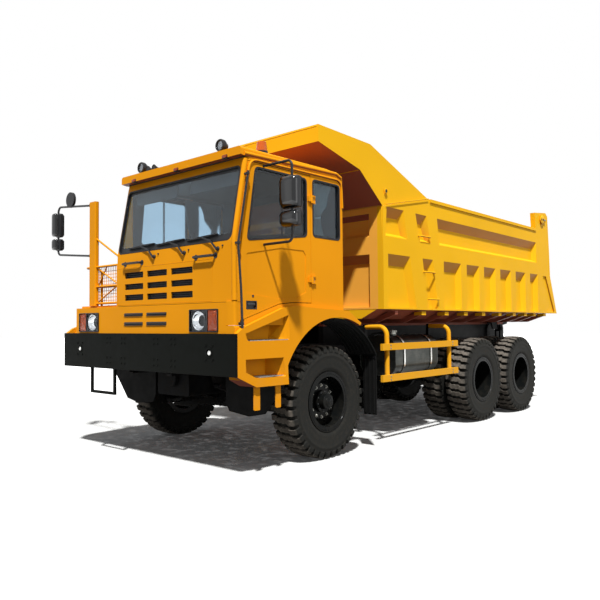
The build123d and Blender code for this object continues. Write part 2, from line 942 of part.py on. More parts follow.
# ---- platform on the right, its railing and the mirrors -----------------------------
platform_left = cab_right - seat_clearance
platform_right = 230 - half_width
platform_top = 1890
deck_thickness = 24
deck_joist_distances = (-1480, -700, 80)
post_x = 540 - half_width
post_y = back(-1545)
post_half_width = 75
post_top = 3270
mirror_reach = half_width + 470
mirror_tube_radius = 14
rail_top_z = 2400
rail_middle_z = 2140
rail_tube_radius = 15
brace_radius = 9

with BuildPart() as platform_deck:
    block(
        (platform_right, platform_left),
        (back(-1540), back(150)),
        (platform_top - deck_thickness, platform_top),
    )
    for distance in deck_joist_distances:
        block(
            (platform_right + 10, platform_left),
            (back(distance), back(distance + 60)),
            (1720, platform_top - deck_thickness + 1),
        )
    # legs of the deck's frame, down to the rail
    leg_x = -rail_x - 180
    for distance in (deck_joist_distances[0], deck_joist_distances[-1]):
        block((leg_x - 30, leg_x + 30), (back(distance), back(distance + 60)), (1250, 1721))
        block(
            (leg_x - 31, -rail_x - seat_clearance),
            (back(distance), back(distance + 60)),
            (1200, 1251),
        )
finish(platform_deck, "platform_deck")

with BuildPart() as platform_railing:
    deck_z = platform_top + seat_clearance
    rounded_plate(
        Plane.XY.offset(deck_z),
        (post_x - post_half_width, post_y - 30),
        (post_x + post_half_width, post_y + 30),
        14,
        post_top - deck_z,
    )
    inner_x = cab_right - 60
    for z in (rail_top_z, rail_middle_z, deck_z + 30):
        rod((post_x + 70, post_y, z), (inner_x + 15, post_y, z), rail_tube_radius)
    rod((inner_x, post_y, deck_z), (inner_x, post_y, rail_top_z), rail_tube_radius)
    rod((post_x + 60, post_y, deck_z + 30), (inner_x, post_y, rail_middle_z), brace_radius)
    # short return along the outer side
    outer_x = post_x - 200
    return_y = back(-1310)
    bent_tube(
        [
            (post_x - 60, post_y, rail_top_z),
            (outer_x, post_y, rail_top_z),
            (outer_x, return_y, rail_top_z),
            (outer_x, return_y, deck_z),
        ],
        rail_tube_radius,
        60,
    )
    # brace from the post towards the cab's front wall
    rod((post_x + 70, post_y, 2770), (cab_right - 30, post_y + 30, 2480), 12)
finish(platform_railing, "platform_railing")


def mirror_head(x, y, z, corner_radius):
    """A mirror's housing with all its edges rounded."""
    with BuildPart(mode=Mode.PRIVATE) as head:
        block(x, y, z)
        fillet(head.edges(), corner_radius)
    add(head.part)


with BuildPart() as right_mirror:
    foot_x = post_x - post_half_width - seat_clearance
    tube_x = 60 - mirror_reach
    upper_foot_z, lower_foot_z = 3235, 2560
    bent_tube(
        [
            (foot_x - 8, post_y, upper_foot_z),
            (tube_x, post_y, 3320),
            (tube_x, post_y, 2640),
            (foot_x - 8, post_y, lower_foot_z),
        ],
        mirror_tube_radius,
        70,
    )
    for z in (upper_foot_z, lower_foot_z):
        rod((foot_x, post_y, z), (foot_x - 16, post_y, z), 26)
    for low_z, high_z in ((2890, 3230), (2700, 2865)):
        mirror_head((-mirror_reach, 120 - mirror_reach), (post_y - 18, post_y + 52), (low_z, high_z), 22)
    # round wide-angle mirror on a stalk
    rod((-1770, post_y - 20, 3380), (-1770, post_y + 15, 3380), 105)
    rod((-1770, post_y, 3380), (-1770, post_y, 3270), 10)
finish(right_mirror, "right_mirror")

left_mirror_y = back(-1200)

with BuildPart() as left_mirror:
    foot_x = cab_left + seat_clearance
    bent_tube(
        [
            (foot_x, left_mirror_y, 3335),
            (mirror_reach - 110, left_mirror_y, 3335),
            (mirror_reach - 110, left_mirror_y, 2485),
            (foot_x, left_mirror_y, 2485),
        ],
        mirror_tube_radius,
        60,
    )
    for low_z, high_z in ((2830, 3160), (2640, 2800)):
        mirror_head(
            (mirror_reach - 240, mirror_reach),
            (left_mirror_y - 40, left_mirror_y + 34),
            (low_z, high_z),
            24,
        )
finish(left_mirror, "left_mirror")

with BuildPart() as roof_lamps:
    roof_z = cab_top + roof_rise + seat_clearance
    lamp_z = cab_top + 250
    # round work lamps with tapered backs, on stalks
    for x in (cab_right + 110, cab_left - 575):
        rod((x, back(-1250), roof_z), (x, back(-1250), lamp_z - 50), 10)
        with BuildSketch(front_plane(back(-1220))) as lamp_back:
            with Locations((x, lamp_z)):
                Circle(38)
        with BuildSketch(front_plane(back(-1275))) as lamp_front:
            with Locations((x, lamp_z)):
                Circle(70)
        loft([lamp_back.sketch, lamp_front.sketch])
        rod((x, back(-1275), lamp_z), (x, back(-1310), lamp_z), 70)
    # beacon on the left edge
    beacon = (cab_left - 95, back(-1130))
    rod((*beacon, roof_z), (*beacon, roof_z + 24), 66)
    with BuildSketch(Plane.XY.offset(roof_z + 24)) as beacon_foot:
        with Locations(beacon):
            Circle(60)
    with BuildSketch(Plane.XY.offset(roof_z + 128)) as beacon_head:
        with Locations(beacon):
            Circle(48)
    loft([beacon_foot.sketch, beacon_head.sketch])
    # twin trumpet horns on the right
    for x in (cab_right + 410, cab_right + 530):
        rod((x, back(-1180), roof_z), (x, back(-1180), roof_z + 50), 10)
        rod((x, back(-1360), roof_z + 60), (x, back(-1130), roof_z + 60), 16)
        with BuildSketch(front_plane(back(-1360))) as throat:
            with Locations((x, roof_z + 60)):
                Circle(16)
        with BuildSketch(front_plane(back(-1420))) as bell:
            with Locations((x, roof_z + 60)):
                Circle(40)
        loft([throat.sketch, bell.sketch])
finish(roof_lamps, "roof_lamps")

# ---- cab inside ---------------------------------------------------------------------
seat_centres = (cab_left - 535, cab_right + 530)
wheel_centre = (seat_centres[0], back(-1010), 2560)
column_radius = 45


def column_point(share):
    """A point on the steering column, from the wheel down towards the floor."""
    x, y, z = wheel_centre
    return (x, y - 150 * share, z - 260 * share)


with BuildPart() as dashboard:
    inner_right = cab_right + cab_wall + seat_clearance
    inner_left = cab_left - cab_wall - seat_clearance
    fascia = behind(
        [
            (-1545, 1900),
            (-1535, 2480),
            (-1330, 2500),
            (-1180, 2400),
            (-1200, 2250),
            (-1330, 2200),
            (-1400, 1900),
        ]
    )
    prism(side_plane(inner_right), fascia, inner_left - inner_right)
    rod(column_point(0.632), column_point(1.3), column_radius)
finish(dashboard, "dashboard")

with BuildPart() as seats:
    cushion_z = cab_floor_top + 250
    for x in seat_centres:
        block(
            (x - 190, x + 190),
            (back(-640), back(-260)),
            (cab_floor_top + seat_clearance, cushion_z + 10),
        )
        block((x - 250, x + 250), (back(-700), back(-200)), (cushion_z, cushion_z + 150))
        backrest = behind(
            [
                (-300, cushion_z + 140),
                (-190, cushion_z + 140),
                (-90, cushion_z + 870),
                (-190, cushion_z + 870),
            ]
        )
        prism(side_plane(x - 240), backrest, 480)
finish(seats, "seats")

with BuildPart() as steering_wheel:
    rim_plane = Plane(origin=wheel_centre, x_dir=(1, 0, 0), z_dir=(0, 0.5, 0.866))
    with Locations(rim_plane):
        Torus(230, 16)
        Cylinder(50, 40)
    with BuildSketch(rim_plane) as spokes:
        Rectangle(440, 30)
        Rectangle(30, 440)
    extrude(amount=8, both=True)
    rod(wheel_centre, column_point(0.63), 24)
finish(steering_wheel, "steering_wheel")

# ---- engine -------------------------------------------------------------------------
driveline_z = axle_z + 40
engine_half_width = 310
gearbox_rear = 700

with BuildPart() as engine:
    block((-engine_half_width, engine_half_width), (back(-1150), back(250)), (760, 1560))
    fillet(engine.edges().filter_by(Axis.Y), 40)
    block((-230, 230), (back(249), back(gearbox_rear)), (driveline_z - 85, 1150))
    # four feet that reach the rails
    foot_x = rail_x - frame_web - seat_clearance
    for side in (1, -1):
        for distance in (-850, 150):
            block(
                (side * (engine_half_width - 10), side * foot_x),
                (back(distance - 50), back(distance + 50)),
                (frame_bottom + 50, frame_bottom + 110),
            )
finish(engine, "engine")

# ---- front axle, springs and steering knuckles --------------------------------------
kingpin_x = front_wheel_x - kingpin_inset
kingpin_radius = 28
fist_half = 80
fist_radius = 62
beam_top = axle_z - 85
beam_drop_x = 780
beam_depth = 105
spring_x = rail_x - 5
spring_width = 90
yoke_gap = 2
yoke_thickness = 50
yoke_reach = 100
spindle_radius = 60
spindle_end_x = front_wheel_x + 70
steering_arm_drop = 60

with BuildPart() as front_axle:
    # the beam dips between the springs and rises to the kingpins
    beam = [
        (-kingpin_x, axle_z - 55),
        (-beam_drop_x, beam_top - beam_depth),
        (beam_drop_x, beam_top - beam_depth),
        (kingpin_x, axle_z - 55),
        (kingpin_x, axle_z + 55),
        (beam_drop_x, beam_top),
        (-beam_drop_x, beam_top),
        (-kingpin_x, axle_z + 55),
    ]
    prism(front_plane(front_axle_y - 55), beam, -110)
    for side in (1, -1):
        rod(
            (side * kingpin_x, front_axle_y, axle_z - fist_half),
            (side * kingpin_x, front_axle_y, axle_z + fist_half),
            fist_radius,
        )
    for side in (1, -1):
        rod(
            (side * kingpin_x, front_axle_y, axle_z - 200),
            (side * kingpin_x, front_axle_y, axle_z + 200),
            kingpin_radius + running_clearance,
            Mode.SUBTRACT,
        )
finish(front_axle, "front_axle")

with BuildPart() as front_springs:
    seat_z = beam_top + seat_clearance
    middle_z = (seat_z + spring_eye_z) / 2
    # a bowed pack of leaves, thickest over the axle
    upward = [(-810, spring_eye_z - 23), (-400, middle_z - 39), (-90, seat_z)]
    downward = [(90, seat_z + 130), (380, middle_z + 31), (780, spring_eye_z + 22)]
    lower = upward + [(-distance, z) for distance, z in reversed(upward)]
    higher = [(-distance, z) for distance, z in reversed(downward)] + downward
    for side in (1, -1):
        start = side * spring_x - spring_width / 2
        prism(side_plane(start), behind(lower + higher[::-1]), spring_width)
        for end in (-1, 1):
            eye_y = back(end * spring_eye_distance)
            rod(
                (start, eye_y, spring_eye_z),
                (start + spring_width, eye_y, spring_eye_z),
                spring_eye_radius,
            )
finish(front_springs, "front_springs")

with BuildPart() as left_knuckle:
    yoke_inner = fist_half + yoke_gap
    yoke_outer = yoke_inner + yoke_thickness
    rod(
        (kingpin_x, front_axle_y, axle_z - yoke_outer),
        (kingpin_x, front_axle_y, axle_z + yoke_outer),
        kingpin_radius,
    )
    for low_z in (axle_z + yoke_inner, axle_z - yoke_outer):
        rod(
            (kingpin_x, front_axle_y, low_z),
            (kingpin_x, front_axle_y, low_z + yoke_thickness),
            fist_radius,
        )
        block(
            (kingpin_x, kingpin_x + yoke_reach),
            (front_axle_y - fist_radius, front_axle_y + fist_radius),
            (low_z, low_z + yoke_thickness),
        )
    block(
        (kingpin_x + yoke_reach - 28, kingpin_x + yoke_reach),
        (front_axle_y - 90, front_axle_y + 90),
        (axle_z - yoke_outer, axle_z + yoke_outer),
    )
    rod(
        (kingpin_x + yoke_reach - 1, front_axle_y, axle_z),
        (spindle_end_x, front_axle_y, axle_z),
        spindle_radius,
    )
    # boss and steering arm, low enough to pass under the axle beam
    arm_bottom = axle_z - yoke_outer - steering_arm_drop
    rod(
        (kingpin_x, front_axle_y, arm_bottom),
        (kingpin_x, front_axle_y, axle_z - yoke_outer + 1),
        fist_radius,
    )
    arm = [
        (kingpin_x - 40, front_axle_y),
        (kingpin_x + 40, front_axle_y),
        (kingpin_x - 35, front_axle_y + 240),
        (kingpin_x - 55, front_axle_y + 262),
        (kingpin_x - 80, front_axle_y + 240),
    ]
    prism(Plane.XY.offset(arm_bottom), arm, 45)
finish(left_knuckle, "left_knuckle")

with BuildPart() as right_knuckle:
    add(mirror(left_knuckle.part, about=Plane.YZ, mode=Mode.PRIVATE))
finish(right_knuckle, "right_knuckle")

# ---- tandem axles, their suspension and the drive line ------------------------------
axle_tube_radius = 88
hub_inner_x = 1060
stub_end_x = 1300
carrier_radius = 235
nose_length = 330
leaf_x = rail_x + 140
leaf_width = 100
trunnion_z = axle_z + 15
trunnion_radius = 60
shaft_radius = 55

with BuildPart() as tandem_axles:
    for axle_y in (middle_axle_y, rear_axle_y):
        rod((-hub_inner_x, axle_y, axle_z), (hub_inner_x, axle_y, axle_z), axle_tube_radius)
        rod((-stub_end_x, axle_y, axle_z), (stub_end_x, axle_y, axle_z), spindle_radius)
        with Locations((0, axle_y, axle_z)):
            Sphere(carrier_radius)
        rod((0, axle_y, driveline_z), (0, axle_y - nose_length, driveline_z), 110)
    rod((0, middle_axle_y, driveline_z), (0, middle_axle_y + nose_length, driveline_z), 75)
finish(tandem_axles, "tandem_axles")

with BuildPart() as rear_suspension:
    pad_z = axle_z + axle_tube_radius + seat_clearance
    half = tandem_spacing / 2
    for side in (1, -1):
        start = side * leaf_x - leaf_width / 2
        leaves = [
            (trunnion_y - half - 130, pad_z),
            (trunnion_y - half + 130, pad_z),
            (trunnion_y - 140, pad_z + 70),
            (trunnion_y + 140, pad_z + 70),
            (trunnion_y + half - 130, pad_z),
            (trunnion_y + half + 130, pad_z),
            (trunnion_y + half + 120, pad_z + 60),
            (trunnion_y + 160, pad_z + 230),
            (trunnion_y - 160, pad_z + 230),
            (trunnion_y - half - 120, pad_z + 60),
        ]
        prism(side_plane(start), leaves, leaf_width)
        # saddle under the leaves, carried by a bracket on the rail
        block(
            (start, start + leaf_width),
            (trunnion_y - 140, trunnion_y + 140),
            (trunnion_z, pad_z + 71),
        )
        bracket = [
            (trunnion_y - 130, trunnion_z - 60),
            (trunnion_y + 130, trunnion_z - 60),
            (trunnion_y + 220, frame_top - 90),
            (trunnion_y - 220, frame_top - 90),
        ]
        prism(side_plane(side * (rail_x + seat_clearance)), bracket, side * 50)
        rod(
            (side * (rail_x + 20), trunnion_y, trunnion_z),
            (side * (leaf_x + 90), trunnion_y, trunnion_z),
            trunnion_radius,
        )
finish(rear_suspension, "rear_suspension")

with BuildPart() as drive_shafts:
    for start_y, end_y in (
        (back(gearbox_rear), middle_axle_y - nose_length),
        (middle_axle_y + nose_length, rear_axle_y - nose_length),
    ):
        rod(
            (0, start_y + seat_clearance, driveline_z),
            (0, end_y - seat_clearance, driveline_z),
            shaft_radius,
        )
finish(drive_shafts, "drive_shafts")

# ---- tanks and side guards ----------------------------------------------------------
tank_y = (back(1660), back(2820))
tank_x = (rail_x + 370, rail_x + 1000)
tank_z = (tank_seat_z + seat_clearance, tank_seat_z + 572)
tank_corner_radius = 190
strap_half_width = 25
strap_thickness = 8
filler_x = rail_x + 720
filler_distance = 1990


def tank_outline(margin, mode=Mode.ADD):
    """The fuel tank's section with a margin outside it."""
    low_x, high_x = tank_x
    low_z, high_z = tank_z
    with Locations(((low_x + high_x) / 2, (low_z + high_z) / 2)):
        RectangleRounded(
            high_x - low_x + 2 * margin,
            high_z - low_z + 2 * margin,
            tank_corner_radius + margin,
            mode=mode,
        )


with BuildPart() as fuel_tank:
    rounded_plate(
        front_plane(tank_y[0]),
        (tank_x[0], tank_z[0]),
        (tank_x[1], tank_z[1]),
        tank_corner_radius,
        tank_y[0] - tank_y[1],
    )
    # two bands over the tank
    for distance in tank_strap_distances:
        with BuildSketch(front_plane(back(distance - strap_half_width))) as band:
            tank_outline(strap_thickness)
            tank_outline(-1, Mode.SUBTRACT)
            with Locations(((tank_x[0] + tank_x[1]) / 2, tank_z[0] - 20)):
                Rectangle(900, 40, mode=Mode.SUBTRACT)
        extrude(band.sketch, amount=-2 * strap_half_width)
    rod(
        (filler_x, back(filler_distance), tank_z[1] - 5),
        (filler_x, back(filler_distance), tank_z[1] + 50),
        55,
    )
finish(fuel_tank, "fuel_tank")

with BuildPart() as oil_tank:
    block((-tank_x[1], -tank_x[0]), tank_y, tank_z)
    fillet(oil_tank.edges().filter_by(Axis.Y), 60)
    rod(
        (-filler_x, back(filler_distance), tank_z[1] - 5),
        (-filler_x, back(filler_distance), tank_z[1] + 50),
        45,
    )
finish(oil_tank, "oil_tank")

guard_y = (back(1060), back(3120))
guard_x = half_width - 110
guard_bar_half = 45
guard_levels = (1310, 890)
guard_tube_radius = 33

with BuildPart() as side_guards:
    for level in guard_levels:
        block(
            (guard_x - 18, guard_x + 22),
            guard_y,
            (level - guard_bar_half, level + guard_bar_half),
        )
    for distance in guard_post_distances:
        tube_x = guard_x - 10 - guard_tube_radius
        bent_tube(
            [
                (guard_bracket_x + seat_clearance, back(distance), guard_tube_z),
                (tube_x, back(distance), guard_tube_z),
                (tube_x, back(distance), guard_levels[1] - 30),
            ],
            guard_tube_radius,
            120,
        )
    mirror(about=Plane.YZ)
finish(side_guards, "side_guards")

# ---- wheels -------------------------------------------------------------------------
wheel_bore = spindle_radius + running_clearance
hub_radius = 165
rim_reach = rim_width / 2
rim_flange_radius = rim_flange_diameter / 2
flange_thickness = 14
hand_hole_radius = 24
hand_hole_circle = 250
hand_hole_count = 10


def tyre_solid(centre_x, axle_y):
    """One tyre, revolved about its axle: flat beads, bulged walls and a low crown."""
    plane = Plane(origin=(centre_x, axle_y, axle_z), x_dir=(1, 0, 0), z_dir=(0, -1, 0))
    half = tyre_width / 2
    outer = tyre_diameter / 2
    bulge = (rim_barrel_radius + outer) / 2 + 10
    bead_x = rim_reach - 1
    with BuildSketch(plane) as section:
        with BuildLine():
            foot = Line((-bead_x, rim_barrel_radius), (bead_x, rim_barrel_radius))
            right_bead = Line(foot @ 1, (bead_x, rim_flange_radius))
            right_wall = ThreePointArc(right_bead @ 1, (half, bulge), (half - 12, outer - 60))
            right_shoulder = Line(right_wall @ 1, (half - 50, outer - 9))
            crown = ThreePointArc(right_shoulder @ 1, (0, outer), (50 - half, outer - 9))
            left_shoulder = Line(crown @ 1, (12 - half, outer - 60))
            left_wall = ThreePointArc(left_shoulder @ 1, (-half, bulge), (-bead_x, rim_flange_radius))
            Line(left_wall @ 1, foot @ 0)
        make_face()
    revolve(section.sketch, axis=Axis((0, axle_y, axle_z), (1, 0, 0)))


def ring(points, axle_y):
    """A closed outline of (x, radius) turned about an axle."""
    plane = Plane(origin=(0, axle_y, axle_z), x_dir=(1, 0, 0), z_dir=(0, -1, 0))
    with BuildSketch(plane) as section:
        Polygon(*points, align=None)
    revolve(section.sketch, axis=Axis((0, axle_y, axle_z), (1, 0, 0)))


def rim_shell(centre_x, axle_y):
    """A rim's barrel with its two flanges."""
    points = [
        (-rim_reach - flange_thickness, rim_flange_radius),
        (-rim_reach - flange_thickness, rim_barrel_radius - rim_wall),
        (rim_reach + flange_thickness, rim_barrel_radius - rim_wall),
        (rim_reach + flange_thickness, rim_flange_radius),
        (rim_reach, rim_flange_radius),
        (rim_reach, rim_barrel_radius),
        (-rim_reach, rim_barrel_radius),
        (-rim_reach, rim_flange_radius),
    ]
    ring([(centre_x + x, radius) for x, radius in points], axle_y)


def disc(start_x, end_x, inner, outer, axle_y):
    """A flat ring between two places on the axle."""
    ring([(start_x, inner), (end_x, inner), (end_x, outer), (start_x, outer)], axle_y)


for side, side_name in ((1, "left"), (-1, "right")):
    with BuildPart() as front_tyre:
        tyre_solid(side * front_wheel_x, front_axle_y)
    finish(front_tyre, f"front_{side_name}_tyre")
    with BuildPart() as front_rim:
        x = side * front_wheel_x
        rim_shell(x, front_axle_y)
        # coned disc with hand holes, then the hub and its cap
        cone = [
            (x + side * 20, wheel_bore),
            (x + side * 44, wheel_bore),
            (x + side * 44, hub_radius + 45),
            (x + side * 14, rim_barrel_radius - rim_wall + 1),
            (x - side * 10, rim_barrel_radius - rim_wall + 1),
            (x + side * 20, hub_radius + 45),
        ]
        ring(cone, front_axle_y)
        with BuildSketch(side_plane(x - side * 30)) as hand_holes:
            with Locations((front_axle_y, axle_z)):
                with PolarLocations(hand_hole_circle, hand_hole_count):
                    Circle(hand_hole_radius)
        extrude(hand_holes.sketch, amount=side * 90, mode=Mode.SUBTRACT)
        disc(x - side * 85, x + side * 90, wheel_bore, 135, front_axle_y)
        disc(x + side * 89, x + side * 150, 0, 95, front_axle_y)
    finish(front_rim, f"front_{side_name}_rim")
    for axle_y, axle_name in ((middle_axle_y, "middle"), (rear_axle_y, "rear")):
        with BuildPart() as dual_tyres:
            tyre_solid(side * dual_outer_x, axle_y)
            tyre_solid(side * dual_inner_x, axle_y)
        finish(dual_tyres, f"{axle_name}_{side_name}_tyres")
        with BuildPart() as dual_rims:
            rim_shell(side * dual_outer_x, axle_y)
            rim_shell(side * dual_inner_x, axle_y)
            middle_x = (dual_outer_x + dual_inner_x) / 2
            disc(
                side * (middle_x - 60),
                side * (middle_x + 60),
                hub_radius - 10,
                rim_barrel_radius - rim_wall + 1,
                axle_y,
            )
            disc(side * (hub_inner_x + 6), side * (stub_end_x + 10), wheel_bore, hub_radius, axle_y)
            disc(side * (stub_end_x + 9), side * (stub_end_x + 70), 0, 130, axle_y)
        finish(dual_rims, f"{axle_name}_{side_name}_rims")

# ---- bed ----------------------------------------------------------------------------
bed_front_y = back(bed_front_offset)
bed_wall = bed_rib_depth + bed_skin
bed_inner_x = bed_half_width - bed_wall
bed_front_top = 3228
post_inset = 316
tail_kick = 100
tail_start_y = before_tail(530)
ear_pin_y = before_tail(730)
ear_pin_z = 3660
gate_pin_radius = 40
pocket_slope = 60
top_rail_height = 50
top_rail_reach = 18
rung_radius = 11
rung_reach = 30


def slope(front_z, rear_z, y):
    """Height at y of a line from the bed's front edge to its rear post."""
    share = (y - bed_front_y) / (before_tail(post_inset) - bed_front_y)
    return front_z + (rear_z - front_z) * share


def side_pocket(corners, top, bottom, top_drop, bottom_rise):
    """A pocket in the left side. Its walls slope from the face down to the skin.

    The corners are its front and rear at the top, then its front and rear at the bottom.
    """
    high_front, high_rear, low_front, low_rear = (back(distance) for distance in corners)
    run = pocket_slope
    mouth = [
        (low_front, slope(*bottom, low_front)),
        (low_rear, slope(*bottom, low_rear)),
        (high_rear, slope(*top, high_rear)),
        (high_front, slope(*top, high_front)),
    ]
    floor = [
        (low_front + run, slope(*bottom, low_front) + bottom_rise),
        (low_rear - run, slope(*bottom, low_rear) + bottom_rise),
        (high_rear - run, slope(*top, high_rear) - top_drop),
        (high_front + run, slope(*top, high_front) - top_drop),
    ]
    sloped_pocket(side_plane(bed_half_width), mouth, side_plane(bed_half_width - bed_rib_depth), floor)


# distances behind the front axle: front and rear at the top, front and rear at the bottom
upper_pockets = (
    (1258, 1680, 1219, 1765),
    (1992, 2299, 2109, 2413),
    (2607, 6422, 2674, 6422),
)
lower_pockets = (
    (1276, 1835, 1276, 1990),
    (2172, 2470, 2330, 2610),
    (2795, 3347, 2795, 3347),
    (3537, 3978, 3537, 3978),
    (4157, 4595, 4157, 4595),
    (4789, 5227, 4789, 5227),
    (5438, 5872, 5438, 5872),
    (6100, 6470, 6100, 6470),
)
# climbing rungs: front and rear end, and height
rungs = ((2070, 2365, 2900), (2200, 2490, 2380), (2325, 2600, 1980))

with BuildPart() as bed_sides:
    top_rear = (before_tail(1009), bed_top_rear_z)
    top_front = (back(2341), bed_top_front_z)
    profile = [
        (bed_front_y, bed_edge_z),
        (rear_y, bed_edge_z - 23),
        (before_tail(post_inset), 2556),
        (before_tail(338), 3061),
        (before_tail(398), 3762),
        (before_tail(490), 3826),
        (before_tail(1040), 3770),
        top_rear,
        top_front,
        (bed_front_y, bed_front_top),
    ]
    prism(side_plane(bed_inner_x), profile, bed_wall)
    for corners in upper_pockets:
        side_pocket(corners, (3227, 3177), (2825, 2783), 130, 50)
    for corners in lower_pockets:
        side_pocket(corners, (2580, 2556), (1848, 1828), 150, 4)
    # shallow slanting groove between the last rib and the rear post
    groove = [
        (before_tail(690), 2540),
        (before_tail(538), 2540),
        (before_tail(120), 1836),
        (before_tail(504), 1836),
    ]
    prism(side_plane(bed_half_width - 25), groove, 26, Mode.SUBTRACT)
    # rail along the top edge
    (rear_end, rear_z), (front_end, front_z) = top_rear, top_front
    rail = [
        (front_end + 60, front_z - top_rail_height),
        (rear_end - 10, rear_z - top_rail_height),
        (rear_end - 10, rear_z),
        (front_end + 60, front_z),
    ]
    prism(side_plane(bed_half_width - 1), rail, top_rail_reach + 1)
    # climbing rungs stand off the ribs beside the slanting pocket
    for front, rear, z in rungs:
        bent_tube(
            [
                (bed_half_width - 10, back(front), z),
                (bed_half_width + rung_reach, back(front), z),
                (bed_half_width + rung_reach, back(rear), z),
                (bed_half_width - 10, back(rear), z),
            ],
            rung_radius,
            18,
        )
    rod(
        (bed_inner_x - 1, ear_pin_y, ear_pin_z),
        (bed_half_width + 1, ear_pin_y, ear_pin_z),
        gate_pin_radius + running_clearance,
        Mode.SUBTRACT,
    )
    mirror(about=Plane.YZ)
finish(bed_sides, "bed_sides")

with BuildPart() as bed_front_wall:
    block(
        (-bed_inner_x, bed_inner_x),
        (bed_front_y, bed_front_y + bed_wall),
        (bed_edge_z, bed_front_top),
    )
    # columns of pockets, their lowest and highest level and their slopes
    column_width = (2 * bed_inner_x - 5 * 90) / 3
    for low_z, high_z, drop, rise in ((1852, 2580, 120, 4), (2825, 3140, 70, 50)):
        for column in (-1, 0, 1):
            x = column * (column_width + 90)
            outer = [
                (x - column_width / 2, low_z),
                (x + column_width / 2, low_z),
                (x + column_width / 2, high_z),
                (x - column_width / 2, high_z),
            ]
            inner = [
                (x - column_width / 2 + pocket_slope, low_z + rise),
                (x + column_width / 2 - pocket_slope, low_z + rise),
                (x + column_width / 2 - pocket_slope, high_z - drop),
                (x - column_width / 2 + pocket_slope, high_z - drop),
            ]
            sloped_pocket(
                front_plane(bed_front_y), outer, front_plane(bed_front_y + bed_rib_depth), inner
            )
finish(bed_front_wall, "bed_front_wall")

canopy_plate = 20
canopy_half_width = bed_half_width - 5
canopy_front = -180
canopy_lip_height = 210
canopy_knee = (659, 3632)

with BuildPart() as bed_canopy:
    knee_distance, knee_z = canopy_knee
    lip_low_z = canopy_lip_z - canopy_lip_height
    deck = [
        (back(canopy_front), lip_low_z),
        (back(knee_distance), knee_z),
        (bed_front_y, bed_front_top + seat_clearance),
        (bed_front_y + 26, bed_front_top + 10),
        (back(knee_distance + 16), knee_z + 18),
        (back(canopy_front + 4), lip_low_z + canopy_plate),
    ]
    prism(side_plane(-canopy_half_width), deck, 2 * canopy_half_width)
    block(
        (-canopy_half_width, canopy_half_width),
        (back(canopy_front), back(canopy_front) + canopy_plate),
        (lip_low_z, canopy_lip_z),
    )
    wing = [
        (back(canopy_front), lip_low_z),
        (back(knee_distance), knee_z),
        (bed_front_y, bed_front_top + seat_clearance),
        (back(2341), bed_top_front_z + seat_clearance),
        (back(2341), bed_top_front_z + 4),
        (back(897), canopy_lip_z - 30),
        (back(canopy_front), canopy_lip_z),
    ]
    for x in (-canopy_half_width, canopy_half_width - canopy_plate):
        prism(side_plane(x), wing, canopy_plate)
finish(bed_canopy, "bed_canopy")

floor_flat_x = bed_inner_x - 286
floor_edge_z = 1834
beam_low_z = 1632
runner_top_z = 1695
runner_x = (rail_x - 90, rail_x)
beam_half = 35
beam_distances = (1500, 2224, 2900, 3528, 4160, 4795, 5399, 5906, 6337, 6843)


def floor_section(rise):
    """The floor plate's outline seen from the front, lifted in its flat middle."""
    low_z = bed_floor_z - bed_skin + rise
    top_z = bed_floor_z + rise
    return [
        (-bed_inner_x, floor_edge_z),
        (-floor_flat_x, low_z),
        (floor_flat_x, low_z),
        (bed_inner_x, floor_edge_z),
        (bed_inner_x, floor_edge_z + 18),
        (floor_flat_x, top_z),
        (-floor_flat_x, top_z),
        (-bed_inner_x, floor_edge_z + 18),
    ]


with BuildPart() as bed_floor:
    floor_front_y = bed_front_y + bed_wall
    prism(front_plane(floor_front_y), floor_section(0), floor_front_y - tail_start_y)
    # the tail kicks up towards the gate
    with BuildSketch(front_plane(tail_start_y)) as near_end:
        Polygon(*floor_section(0), align=None)
    with BuildSketch(front_plane(before_tail(10))) as far_end:
        Polygon(*floor_section(tail_kick), align=None)
    loft([near_end.sketch, far_end.sketch], ruled=True)
    beam_reach = bed_half_width - 25
    beam_knee = bed_half_width - 100
    for distance in beam_distances:
        beam = [
            (-beam_reach, bed_edge_z - 70),
            (-floor_flat_x, beam_low_z),
            (floor_flat_x, beam_low_z),
            (beam_reach, bed_edge_z - 70),
            (beam_reach, bed_edge_z - 27),
            (beam_knee, bed_edge_z - 27),
            (floor_flat_x, runner_top_z),
            (-floor_flat_x, runner_top_z),
            (-beam_knee, bed_edge_z - 27),
            (-beam_reach, bed_edge_z - 27),
        ]
        prism(front_plane(back(distance - beam_half)), beam, -2 * beam_half)
    eye_y, eye_z = hoist_eye
    for side in (1, -1):
        # runner that rests over the frame rail
        low_x, high_x = runner_x
        block(
            (side * low_x, side * high_x),
            (floor_front_y, bed_pin_y - 110),
            (frame_top + 6, runner_top_z),
        )
        lug = [
            (bed_pin_y - 170, runner_top_z),
            (bed_pin_y + 150, runner_top_z),
            (bed_pin_y + 60, bed_pin_z - 55),
            (bed_pin_y - 60, bed_pin_z - 55),
        ]
        prism(side_plane(side * (lug_x - lug_half)), lug, side * 2 * lug_half)
        # pair of ears either side of the hoist's eye
        hoist_ear = [
            (eye_y - 100, runner_top_z),
            (eye_y + 100, runner_top_z),
            (eye_y + 60, eye_z - 60),
            (eye_y - 60, eye_z - 60),
        ]
        for offset in (-75, 55):
            prism(side_plane(side * hoist_x + offset), hoist_ear, 20)
    for side in (1, -1):
        rod(
            (side * (lug_x - 60), bed_pin_y, bed_pin_z),
            (side * (lug_x + 60), bed_pin_y, bed_pin_z),
            bed_pin_radius + running_clearance,
            Mode.SUBTRACT,
        )
finish(bed_floor, "bed_floor")

# distance before the rear end, height: the gate's outer face downwards
gate_face = ((390, 3480), (342, 3061), (post_inset + 4, 2556), (6, bed_edge_z - 1))
gate_depth = 90
gate_gap = 8
gate_rib_pitch = 560
gate_pocket_width = 450
gate_arm = 40

